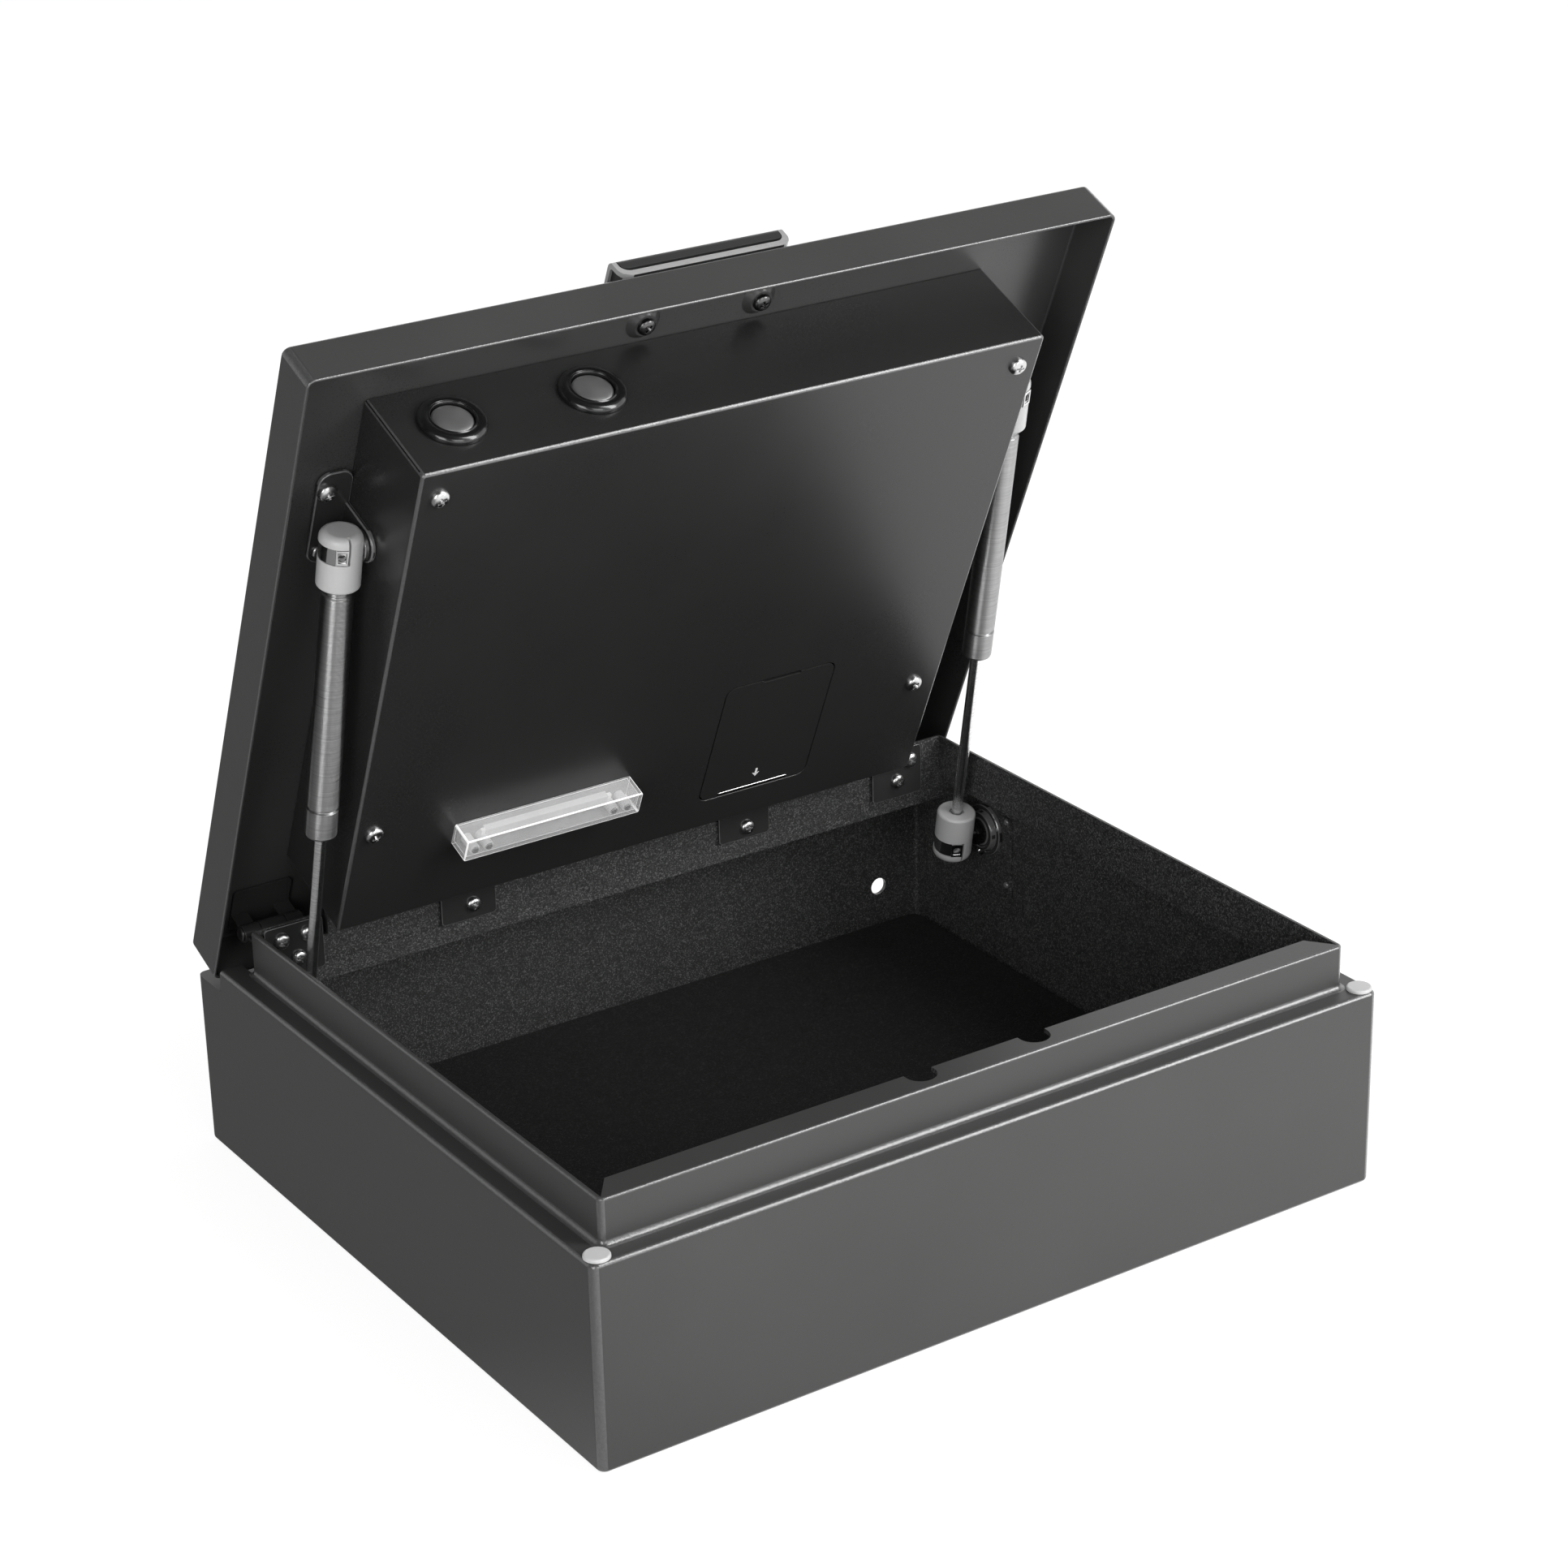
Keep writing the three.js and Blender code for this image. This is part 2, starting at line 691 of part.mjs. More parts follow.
// The lid: a shallow tray upside down, with posts for the housing's screws
function lidShell() {
  const body = roundBlock(left, right, front, back, lid_bottom, lid_top, corner_radius, 0,
    bend_radius);
  const room = roundBlock(left + lid_sheet, right - lid_sheet, front + lid_sheet,
    back - lid_sheet, lid_bottom - overrun, lid_under, corner_radius - lid_sheet);
  const posts = postPlaces().map(([x, y]) => bar(post_radius, [x, y, 0], [0, 0, 1],
    plate_inner + seat_gap, lid_under + lid_sheet / 2, small_steps));
  const post_holes = postPlaces().map(([x, y]) => bar(post_hole_radius, [x, y, plate_inner],
    [0, 0, 1], -overrun, post_hole_depth, small_steps));
  const bosses = panelScrewPlaces().map((x) => turned([
    [0, -screw_boss_height],
    [screw_boss_top_radius, -screw_boss_height],
    [screw_boss_radius, 0],
    [screw_boss_radius, lid_sheet / 2],
    [0, lid_sheet / 2],
  ], [x, screw_y, lid_under], [0, 0, 1], round_steps));
  const screw_holes = panelScrewPlaces().map((x) => bar(panel_screw_radius + seat_gap,
    [x, screw_y, lid_under], [0, 0, 1], -overrun, overrun, small_steps));
  return cut(join(cut(body, room), ...posts, ...bosses), ...post_holes, ...screw_holes);
}

function postPlaces() {
  const xs = [left + post_left, right - post_right];
  const ys = [front + post_front, back - post_from_back];
  return xs.flatMap((x) => ys.map((y) => [x, y]));
}

function panelScrewPlaces() {
  return [-1, 1].map((side) => panel_offset + side * (panel_screw_spacing / 2));
}

// The housing under the lid: a folded tray with windows for the bolts, the door and the light
function housingCover() {
  const body = roundBlock(cover_left, cover_right, cover_front, cover_back, plate_outer,
    cover_top, housing_corner_radius, housing_bend, 0);
  const wall = housing_sheet;
  const room = roundBlock(cover_left + wall, cover_right - wall, cover_front + wall,
    cover_back - wall, plate_inner, cover_top + overrun, housing_corner_radius - wall);
  const bolt_windows = bolt_places.map((x) => bar(ring_sleeve_radius + seat_gap,
    [x, cover_front, bolt_z], [0, 1, 0], -overrun, overrun, large_steps));
  const screw_holes = postPlaces().map(([x, y]) => bar(cover_hole_radius, [x, y, plate_outer],
    [0, 0, 1], -overrun, overrun, small_steps));
  const door_window = doorOutline(door_gap, plate_outer - overrun, plate_inner + overrun);
  const light_hole = bar(light_wire_radius, [light_offset, light_front + light_depth / 2,
    plate_outer], [0, 0, 1], -overrun, overrun, small_steps);
  return cut(body, room, ...bolt_windows, ...screw_holes, door_window, light_hole);
}

// The battery door's outline, grown by a gap
function doorOutline(gap, z0, z1) {
  return pulled(roundRectShape(door_left - gap, door_left + door_width + gap, door_front - gap,
    door_front + door_length + gap, door_corner_radius), 'z', z0, z1);
}

// A flush door with two tabs that hook behind the plate and a finger notch at its free edge
function batteryDoor() {
  const y0 = door_front;
  const plate = doorOutline(0, plate_outer, plate_outer + door_sheet);
  const finger = pulled(roundRectShape(door_offset - door_finger_width / 2,
    door_offset + door_finger_width / 2, y0 + door_length - door_finger_depth,
    y0 + door_length + door_finger_depth, door_finger_depth / 2), 'z', plate_outer - overrun,
  plate_outer + door_sheet + overrun);
  const tab_low = plate_inner + seat_gap;
  const tabs = [-1, 1].flatMap((side) => {
    const centre = door_offset + side * (door_width / 2 - door_tab_width - door_corner_radius);
    const x1 = centre - door_tab_width / 2;
    const x2 = centre + door_tab_width / 2;
    return [
      block(x1, x2, y0 - door_tab_reach, y0 + door_tab_reach, tab_low,
        tab_low + door_tab_thickness),
      block(x1, x2, y0 + door_tab_thickness, y0 + door_tab_reach, plate_outer + door_sheet / 2,
        tab_low + door_tab_thickness),
    ];
  });
  return join(cut(plate, finger), ...tabs);
}

function batteryBox() {
  const x0 = door_left - box_margin;
  const x1 = x0 + door_width + 2 * box_margin;
  const y0 = door_front - box_margin - door_tab_reach;
  const y1 = door_front + door_length + box_margin;
  const z0 = plate_inner + seat_gap;
  const z1 = z0 + box_depth;
  const body = roundBlock(x0, x1, y0, y1, z0, z1, leaf_corner_radius);
  const room = block(x0 + box_wall, x1 - box_wall, y0 + box_wall, y1 - box_wall, z0 - overrun,
    z1 - box_wall);
  return cut(body, room);
}

function batteryCell(index) {
  const pitch = 2 * cell_radius + seat_gap;
  const x = door_offset + (index - (cell_count - 1) / 2) * pitch;
  const y = door_front + (door_length - cell_length) / 2;
  const z = plate_inner + box_depth - box_wall - cell_radius;
  const way = index % 2 === 0 ? 1 : -1;
  const start = way > 0 ? y : y + cell_length;
  return turned([
    [0, 0],
    [cell_radius, 0],
    [cell_radius, cell_length - edge_break],
    [cell_radius - edge_break, cell_length],
    [cell_nub_radius, cell_length],
    [cell_nub_radius, cell_length + cell_nub_length],
    [0, cell_length + cell_nub_length],
  ], [x, start, z], [0, way, 0], small_steps);
}

function lightLens() {
  const x0 = light_left;
  const x1 = x0 + light_width;
  const y0 = light_front;
  const y1 = y0 + light_depth;
  const low = plate_outer - light_height;
  const high = plate_outer - seat_gap;
  const body = roundBlock(x0, x1, y0, y1, low, high, light_corner_radius, edge_break, 0);
  const room = block(x0 + light_wall, x1 - light_wall, y0 + light_wall, y1 - light_wall,
    low + light_wall, high + overrun);
  return cut(body, room);
}

function lightBoard() {
  const x0 = light_left + light_wall + seat_gap;
  const x1 = light_left + light_width - light_wall - seat_gap;
  const y0 = light_front + light_wall + seat_gap;
  const y1 = light_front + light_depth - light_wall - seat_gap;
  const top = plate_outer - seat_gap;
  const under = top - light_board_thickness;
  const strip = block(x0, x1, y0, y1, under, top);
  const leds = [];
  for (let i = 0; i < led_count; i += 1) {
    const x = x0 + ((x1 - x0) * (i + 1)) / (led_count + 1);
    const y = (y0 + y1) / 2;
    leds.push(block(x - led_size / 2, x + led_size / 2, y - led_size / 2, y + led_size / 2,
      under - led_height, under + light_board_thickness / 2));
  }
  return join(strip, ...leds);
}

function boltRing(x) {
  const bore = bolt_radius + running_gap;
  const face = cover_front - seat_gap;
  return turned([
    [bore, 0],
    [ring_radius - ring_flange, 0],
    [ring_radius - ring_flange / 3, ring_flange / 3],
    [ring_radius, ring_flange],
    [ring_sleeve_radius, ring_flange],
    [ring_sleeve_radius, ring_flange + ring_sleeve_length],
    [bore, ring_flange + ring_sleeve_length],
    [bore, 0],
  ], [x, face - ring_flange, bolt_z], [0, 1, 0], large_steps);
}

const bolt_front = cover_front - seat_gap - ring_flange + bolt_recess;
const carriage_front = bolt_front + bolt_length + seat_gap;

function lockBolt(x) {
  const neck_end = bolt_length + carriage_thickness + 2 * seat_gap;
  return turned([
    [0, 0],
    [bolt_radius - bolt_chamfer, 0],
    [bolt_radius, bolt_chamfer],
    [bolt_radius, bolt_length],
    [bolt_neck_radius, bolt_length],
    [bolt_neck_radius, neck_end],
    [nut_radius, neck_end],
    [nut_radius, neck_end + nut_thickness],
    [0, neck_end + nut_thickness],
  ], [x, bolt_front, bolt_z], [0, 1, 0], large_steps);
}

const tooth_pitch = Math.PI * gear_module;
const pinion_radius = (pinion_teeth * gear_module) / 2;
const rack_x = (bolt_places[0] + bolt_places[1]) / 2;
const pitch_line = rack_x + rack_web + gear_module;
const pinion_x = pitch_line + pinion_radius;
const rack_start = carriage_front + carriage_thickness + bolt_throw;
const pinion_y = rack_start + tooth_pitch;

// The bar that carries both bolts, with the rack that the pinion drives
function boltCarriage() {
  const half = carriage_height / 2;
  const y1 = carriage_front + carriage_thickness;
  const x0 = bolt_places[0] - carriage_margin;
  const x1 = bolt_places[1] + carriage_margin;
  const beam = pulled(roundRectShape(x0, x1, bolt_z - half, bolt_z + half, leaf_corner_radius),
    'y', carriage_front, y1);
  const holes = bolt_places.map((x) => bar(bolt_neck_radius + seat_gap, [x, y1, bolt_z],
    [0, 1, 0], -carriage_thickness - overrun, overrun, round_steps));
  const flank = tooth_pitch * tooth_share;
  const tip = gear_module * Math.tan(THREE.MathUtils.degToRad(pressure_angle_degrees));
  const outline = [[rack_x, y1 - sheet]];
  outline.push([rack_x + rack_web, y1 - sheet]);
  for (let i = 0; i < rack_teeth; i += 1) {
    const y = rack_start + i * tooth_pitch;
    const low = rack_x + rack_web;
    const high = pitch_line + gear_module;
    outline.push([low, y - flank / 2 - tip]);
    outline.push([high, y - flank / 2 + tip]);
    outline.push([high, y + flank / 2 - tip]);
    outline.push([low, y + flank / 2 + tip]);
  }
  const end = rack_start + rack_teeth * tooth_pitch;
  outline.push([rack_x + rack_web, end]);
  outline.push([rack_x, end]);
  const rack = pulled(outline, 'z', bolt_z - rack_height / 2, bolt_z + rack_height / 2);
  return join(cut(beam, ...holes), rack);
}

// A spur pinion that turns about an upright shaft beside the rack
function lockPinion() {
  const root = pinion_radius - tooth_root_share * gear_module;
  const tip = pinion_radius + gear_module;
  const step = (2 * Math.PI) / pinion_teeth;
  const half = (step * tooth_share) / 2;
  const outline = [];
  for (let i = 0; i < pinion_teeth; i += 1) {
    const middle = Math.PI + (i + 0.5) * step;
    const corner = (radius, spread_share) => {
      const angle = middle + spread_share * half;
      outline.push([pinion_x + radius * Math.cos(angle), pinion_y + radius * Math.sin(angle)]);
    };
    const radii = [root, pinion_radius, tip];
    radii.forEach((radius, k) => corner(radius, -tooth_spread_shares[k]));
    radii.reverse().forEach((radius, k) => corner(radius, tooth_spread_shares[2 - k]));
  }
  const z0 = bolt_z - pinion_width / 2;
  const wheel = pulled(outline, 'z', z0, z0 + pinion_width);
  const bore = bar(pinion_bore_radius, [pinion_x, pinion_y, z0], [0, 0, 1], -overrun,
    pinion_width + overrun, small_steps);
  return cut(wheel, bore);
}

// The folded steel frame under the lid's panel that guides the bolts and holds the motor
function lockChassis() {
  const top = lid_under - seat_gap;
  const x0 = left + chassis_left;
  const x1 = x0 + chassis_width;
  const y0 = front + chassis_front;
  const y1 = y0 + chassis_depth;
  const base = pulled(roundRectShape(x0, x1, y0, y1, leaf_corner_radius), 'z',
    top - chassis_sheet, top);
  const face = block(x0, x1, y0, y0 + chassis_sheet, top - chassis_drop, top);
  const cheeks = [x0, x1 - chassis_sheet].map((x) => pulled([
    [y0, top],
    [y0, top - chassis_drop],
    [y0 + chassis_sheet, top - chassis_drop],
    [y0 + chassis_drop, top - chassis_sheet],
    [y0 + chassis_drop, top],
  ], 'x', x, x + chassis_sheet));
  const holes = bolt_places.map((x) => bar(bolt_radius + running_gap, [x, y0, bolt_z],
    [0, 1, 0], -overrun, overrun, large_steps));
  return cut(join(base, face, ...cheeks), ...holes);
}

function lockMotor() {
  const top = lid_under - 2 * seat_gap - chassis_sheet;
  const half = gearbox_size / 2;
  const box = roundBlock(pinion_x - half, pinion_x + half, pinion_y - half, pinion_y + half,
    top - gearbox_height, top, leaf_corner_radius);
  const can_z = top - gearbox_height / 2;
  const can = bar(motor_radius, [pinion_x, pinion_y, can_z], [1, 0, 0], half - sheet,
    half + motor_length, round_steps);
  const shaft = bar(pinion_bore_radius - seat_gap, [pinion_x, pinion_y, top], [0, 0, 1],
    bolt_z - pinion_width - top, -gearbox_height + sheet, small_steps);
  return join(box, can, shaft);
}

function circuitBoard() {
  const x0 = left + board_from_left;
  const y0 = front + board_front;
  const x1 = right - board_from_right;
  const y1 = y0 + board_depth;
  const top = lid_under - seat_gap - board_standoff;
  const under = top - board_thickness;
  const board = block(x0, x1, y0, y1, under, top);
  const feet = [x0 + board_margin, x1 - board_margin].flatMap((x) => (
    [y0 + board_margin, y1 - board_margin].map((y) => bar(board_standoff_radius, [x, y, top],
      [0, 0, 1], -board_thickness / 2, board_standoff, small_steps))));
  const chip_x = (x0 + x1) / 2;
  const chip_y = (y0 + y1) / 2;
  const chip = block(chip_x - chip_size / 2, chip_x + chip_size / 2, chip_y - chip_size / 2,
    chip_y + chip_size / 2, under - chip_height, under + board_thickness / 2);
  const buzzer = bar(buzzer_radius, [x1 - 2 * board_margin - buzzer_radius, chip_y, under],
    [0, 0, 1], -buzzer_height, board_thickness / 2, round_steps);
  return join(board, ...feet, chip, buzzer);
}

// The control panel's side outline: upright front, flat top, sloping back
function panelProfile(base) {
  const y0 = front + panel_setback;
  const y1 = y0 + panel_depth;
  const top = lid_top + panel_height;
  const shape = new THREE.Shape();
  shape.moveTo(y0, base);
  shape.lineTo(y1, base);
  shape.lineTo(y1, top - panel_rear_drop);
  shape.lineTo(y1 - panel_rear_slope, top);
  shape.lineTo(y0 + panel_top_radius, top);
  shape.absarc(y0 + panel_top_radius, top - panel_top_radius, panel_top_radius, Math.PI / 2,
    Math.PI);
  return shape;
}

// The silver frame: a tray with round lower corners, open at the front and the top
function panelBezel() {
  const base = lid_top + seat_gap;
  const x0 = panel_left;
  const x1 = x0 + panel_width;
  const body = pulled(panelProfile(base), 'x', x0, x1);
  const envelope = pulled(roundRectShape(x0, x1, base, lid_top + panel_height,
    panel_corner_radius), 'y', front - overrun, front + panel_depth + overrun);
  const rounded = body.intersect(envelope);
  const pocket = pulled(roundRectShape(x0 + panel_rim, x1 - panel_rim, lid_top + panel_band,
    lid_top + 2 * panel_height, panel_corner_radius - panel_rim), 'y', front - overrun,
  front + panel_setback + panel_depth - panel_rim);
  const screw_holes = panelScrewPlaces().map((x) => bar(panel_screw_radius + seat_gap,
    [x, screw_y, lid_top], [0, 0, 1], -overrun, panel_screw_grip + seat_gap, small_steps));
  return cut(rounded, pocket, ...screw_holes);
}

// The black touch panel that fills the frame and rounds over its front edge
function panelInsert() {
  const x0 = panel_left + panel_rim + seat_gap;
  const x1 = panel_left + panel_width - panel_rim - seat_gap;
  const base = lid_top + panel_band + seat_gap;
  const body = pulled(panelProfile(base), 'x', x0, x1);
  const corner = panel_corner_radius - panel_rim;
  const envelope = pulled(roundRectShape(x0, x1, base, lid_top + 2 * panel_height, corner), 'y',
    front - overrun, front + panel_setback + panel_depth - panel_rim - seat_gap);
  const lowered = block(x0 - overrun, x1 + overrun, front - overrun, back, lid_top + panel_height
    - insert_crown, lid_top + panel_height + overrun);
  return cut(body.intersect(envelope), lowered);
}

function panelScrew(x) {
  const head_top = lid_under - screw_boss_height - seat_gap;
  return turned([
    [0, head_top - panel_screw_head],
    [panel_screw_head_radius - edge_break, head_top - panel_screw_head],
    [panel_screw_head_radius, head_top - panel_screw_head + edge_break],
    [panel_screw_head_radius, head_top],
    [panel_screw_radius, head_top],
    [panel_screw_radius, lid_top + panel_screw_grip],
    [0, lid_top + panel_screw_grip],
  ], [x, screw_y, 0], [0, 0, 1], small_steps);
}

// The line of a strut from its lower ball to its upper one, with the lid at an angle from shut
function strutLine(side, angle) {
  const lid_ball = new THREE.Vector3(0, front + strut_lid_from_front - hinge_y,
    lid_under - strut_lid_below_panel - hinge_z);
  lid_ball.applyAxisAngle(new THREE.Vector3(1, 0, 0), -angle);
  const lean = side * (strut_low_inset - strut_high_inset);
  return lid_ball.add(new THREE.Vector3(lean, hinge_y - strut_base_y, hinge_z - strut_base_z));
}

const strut_length = strutLine(1, open_angle).length();
const socket_reach = socket_length - socket_end + seat_gap;
const strut_tube_length = strutLine(1, 0).length() - 2 * socket_reach - strut_closed_gap;

// A strut's axes: it lies along Z, which leans in a little on its way up
function strutAxes(side) {
  const line = strutLine(side, open_angle).normalize();
  const across = new THREE.Vector3(1, 0, 0).projectOnPlane(line).normalize();
  return new THREE.Matrix4().makeBasis(across, line.clone().cross(across), line);
}

// A round mount riveted to the side wall, with its ball stud
function strutWallMount(side) {
  const wall = side * (right - sheet - seat_gap);
  const centre = side * (right - strut_low_inset);
  const reach = Math.abs(wall - centre);
  const boss = wall_mount_sheet + wall_mount_boss;
  const hex = boss + wall_mount_hex;
  const profile = [
    [0, 0],
    [wall_mount_radius, 0],
    [wall_mount_radius, wall_mount_sheet],
    [wall_mount_boss_radius, wall_mount_sheet],
    [wall_mount_boss_radius, boss],
    [wall_mount_hex_radius, boss],
    [wall_mount_hex_radius, hex],
    [stud_neck_radius, hex],
    [stud_neck_radius, reach],
    [0, reach],
  ];
  const start = [wall, strut_base_y, strut_base_z];
  const ball = turned(ballProfile(), [centre, strut_base_y, strut_base_z], [side, 0, 0],
    small_steps);
  return join(turned(profile, start, [-side, 0, 0], round_steps), ball);
}

function ballProfile() {
  const points = [];
  for (let i = 0; i <= small_steps / 2; i += 1) {
    const angle = -Math.PI / 2 + (Math.PI * i) / (small_steps / 2);
    const radius = i === 0 || i === small_steps / 2 ? 0 : ball_radius * Math.cos(angle);
    points.push([radius, ball_radius * Math.sin(angle)]);
  }
  return points;
}

// A plastic socket end along +Z from its ball: the ball enters from one side, and the groove on
// the other side shows the spring clip
function ballSocket(entry) {
  const end = -socket_end;
  const top = socket_length - socket_end;
  const inner = socket_radius - socket_edge;
  const body = turned([
    [0, end],
    [inner, end],
    [socket_radius, end + socket_edge],
    [socket_radius, top - socket_edge / 2],
    [socket_radius - socket_edge / 2, top],
    [0, top],
  ], [0, 0, 0], [0, 0, 1], round_steps);
  const cavity = ball_radius + ball_gap;
  const mouth = bar(cavity, [0, 0, 0], [entry, 0, 0], 0, socket_radius + overrun, small_steps);
  const dome = turned(ballProfile().map(([r, z]) => [(r * cavity) / ball_radius,
    (z * cavity) / ball_radius]), [0, 0, 0], [entry, 0, 0], small_steps);
  const flat = block(Math.min(entry * socket_flat, entry * (socket_radius + overrun)),
    Math.max(entry * socket_flat, entry * (socket_radius + overrun)), -socket_radius,
    socket_radius, end - overrun, socket_end);
  const groove = clipSector(entry, clip_radius - clip_sheet - seat_gap,
    socket_radius + overrun, clip_height + 2 * seat_gap, seat_gap);
  return cut(body, mouth, dome, flat, groove);
}

// A sector of a ring on the side away from the ball's entry
function clipSector(entry, inner, outer, height, grow) {
  const half = THREE.MathUtils.degToRad(clip_spread_degrees) / 2 + grow / inner;
  const middle = entry > 0 ? Math.PI : 0;
  const shape = new THREE.Shape();
  shape.absarc(0, 0, outer, middle - half, middle + half, false);
  shape.absarc(0, 0, inner, middle + half, middle - half, true);
  return pulled(shape, 'z', -height / 2, height / 2, small_steps / 2);
}

function socketClip(entry) {
  return clipSector(entry, clip_radius - clip_sheet, clip_radius, clip_height, 0);
}

// The rod with its piston: distances run up from the lower ball
function strutRod() {
  const tube_end = strut_length - socket_reach - strut_tube_length;
  const piston = tube_end + strut_gland_length + seat_gap;
  const piston_radius = strut_tube_radius - strut_tube_wall - running_gap;
  return turned([
    [0, socket_reach],
    [strut_rod_radius, socket_reach],
    [strut_rod_radius, piston],
    [piston_radius, piston],
    [piston_radius, piston + strut_piston_length],
    [0, piston + strut_piston_length],
  ], [0, 0, 0], [0, 0, 1], round_steps);
}

// The strut's pressure tube: distances run down from the upper ball
function strutTube() {
  const neck = socket_reach + strut_tube_neck;
  const end = socket_reach + strut_tube_length;
  const bore = strut_tube_radius - strut_tube_wall;
  const gland = strut_rod_radius + running_gap;
  const groove = end - strut_groove_from_end;
  return turned([
    [0, -socket_reach],
    [strut_tube_neck_radius, -socket_reach],
    [strut_tube_radius, -neck],
    [strut_tube_radius, -groove + strut_groove],
    [strut_tube_radius - strut_groove, -groove],
    [strut_tube_radius, -groove - strut_groove],
    [strut_tube_radius, -end + edge_break],
    [strut_tube_radius - edge_break, -end],
    [gland, -end],
    [gland, -end + strut_gland_length],
    [bore, -end + strut_gland_length],
    [bore, -neck],
    [0, -neck],
  ], [0, 0, 0], [0, 0, 1], round_steps);
}

// The upper ball stud: its flange rides on the bracket's ear
function upperStud(side) {
  const ear = bracketEarFace(side);
  const reach = Math.abs(ear - side * (right - strut_high_inset)) - seat_gap;
  const profile = [
    [0, 0],
    [stud_neck_radius, 0],
    [stud_neck_radius, reach - stud_flange],
    [stud_flange_radius, reach - stud_flange],
    [stud_flange_radius, reach],
    [0, reach],
  ];
  const inward = [-side, 0, 0];
  return join(turned(profile, [0, 0, 0], inward, round_steps),
    turned(ballProfile(), [0, 0, 0], inward, small_steps));
}

function bracketEarFace(side) {
  return side * (right - strut_high_inset - socket_radius - bracket_ear_gap);
}

// A lid bracket: a foot plate under the panel and an ear beside the strut's ball, upright in front
// and sloping behind
function strutLidBracket(side) {
  const top = lid_under - seat_gap;
  const face = bracketEarFace(side);
  const far = face - side * bracket_sheet;
  const outer = side * (right - bracket_from_side);
  const y0 = front + bracket_front;
  const y1 = y0 + bracket_length;
  const foot = pulled(roundRectShape(Math.min(outer, far), Math.max(outer, far), y0, y1,
    bracket_corner_radius), 'z', top - bracket_sheet, top);
  const ball_y = front + strut_lid_from_front;
  const ball_z = lid_under - strut_lid_below_panel;
  const tilt = THREE.MathUtils.degToRad(bracket_ear_tilt_degrees);
  const shape = new THREE.Shape();
  shape.moveTo(ball_y + bracket_ear_foot, top);
  shape.lineTo(ball_y - bracket_ear_radius, top);
  shape.absarc(ball_y, ball_z, bracket_ear_radius, Math.PI, 2 * Math.PI + tilt, false);
  shape.lineTo(ball_y + bracket_ear_foot, top - bracket_sheet);
  const ear = pulled(shape, 'x', Math.min(face, far), Math.max(face, far), small_steps / 2);
  return join(foot, ear);
}

place(safe, 'base_shell', baseShell(), coat);
place(safe, 'collar_frame', collarFrame(), coat);
place(safe, 'floor_mat', floorMat(), felt);
place(safe, 'bumper_left', bumper(-1), clear_bumper);
place(safe, 'bumper_right', bumper(1), clear_bumper);
place(safe, 'bolt_keeper', boltKeeper(), dark_coat);
hinge_places.forEach((hinge, i) => {
  place(safe, `hinge_base_leaf_${i + 1}`, hingeBaseLeaf(hinge), dark_coat);
  place(safe, `hinge_pin_${i + 1}`, hingePin(hinge), zinc);
  place(lid, `hinge_lid_leaf_${i + 1}`, hingeLidLeaf(hinge), dark_coat);
});

place(lid, 'lid_shell', lidShell(), coat);
place(lid, 'housing_cover', housingCover(), dark_coat);
place(lid, 'battery_door', batteryDoor(), dark_coat);
place(lid, 'battery_box', batteryBox(), black_plastic);
for (let i = 0; i < cell_count; i += 1) {
  place(lid, `battery_${i + 1}`, batteryCell(i), cell_wrap);
}
place(lid, 'light_lens', lightLens(), frosted);
place(lid, 'light_board', lightBoard(), board_green);
['left', 'right'].forEach((name, i) => {
  place(lid, `bolt_ring_${name}`, boltRing(bolt_places[i]), black_plastic);
  place(lid, `lock_bolt_${name}`, lockBolt(bolt_places[i]), polished);
  place(lid, `panel_screw_${name}`, panelScrew(panelScrewPlaces()[i]), zinc);
});
place(lid, 'bolt_carriage', boltCarriage(), zinc);
place(lid, 'lock_pinion', lockPinion(), zinc);
place(lid, 'lock_chassis', lockChassis(), zinc);
place(lid, 'lock_motor', lockMotor(), zinc);
place(lid, 'circuit_board', circuitBoard(), board_green);
place(lid, 'panel_bezel', panelBezel(), satin_silver);
place(lid, 'panel_insert', panelInsert(), black_plastic);

// Each strut has one group at its lower ball and one at its upper ball
['left', 'right'].forEach((name, i) => {
  const side = i === 0 ? -1 : 1;
  place(safe, `strut_wall_mount_${name}`, strutWallMount(side), dark_coat);
  place(lid, `strut_lid_bracket_${name}`, strutLidBracket(side), dark_coat);
  const strut = new THREE.Group();
  strut.position.set(side * (right - strut_low_inset), strut_base_y, strut_base_z);
  strut.quaternion.setFromRotationMatrix(strutAxes(side));
  const upper = new THREE.Group();
  upper.position.set(0, 0, strut_length);
  const upper_stud_turn = new THREE.Group();
  upper_stud_turn.quaternion.copy(strut.quaternion).invert();
  strut.add(upper);
  upper.add(upper_stud_turn);
  safe.add(strut);
  place(strut, `strut_socket_low_${name}`, ballSocket(side), grey_plastic);
  place(strut, `strut_clip_low_${name}`, socketClip(side), polished);
  place(strut, `strut_rod_${name}`, strutRod(), polished);
  place(upper, `strut_tube_${name}`, strutTube(), satin_silver);
  place(upper_stud_turn, `strut_stud_${name}`, upperStud(side), polished);
  const flipped = new THREE.Group();
  flipped.rotation.y = Math.PI;
  upper.add(flipped);
  place(flipped, `strut_socket_high_${name}`, ballSocket(side), grey_plastic);
  place(flipped, `strut_clip_high_${name}`, socketClip(side), polished);
});

export default safe;
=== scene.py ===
import json
import math

import bpy
from mathutils import Matrix, Vector


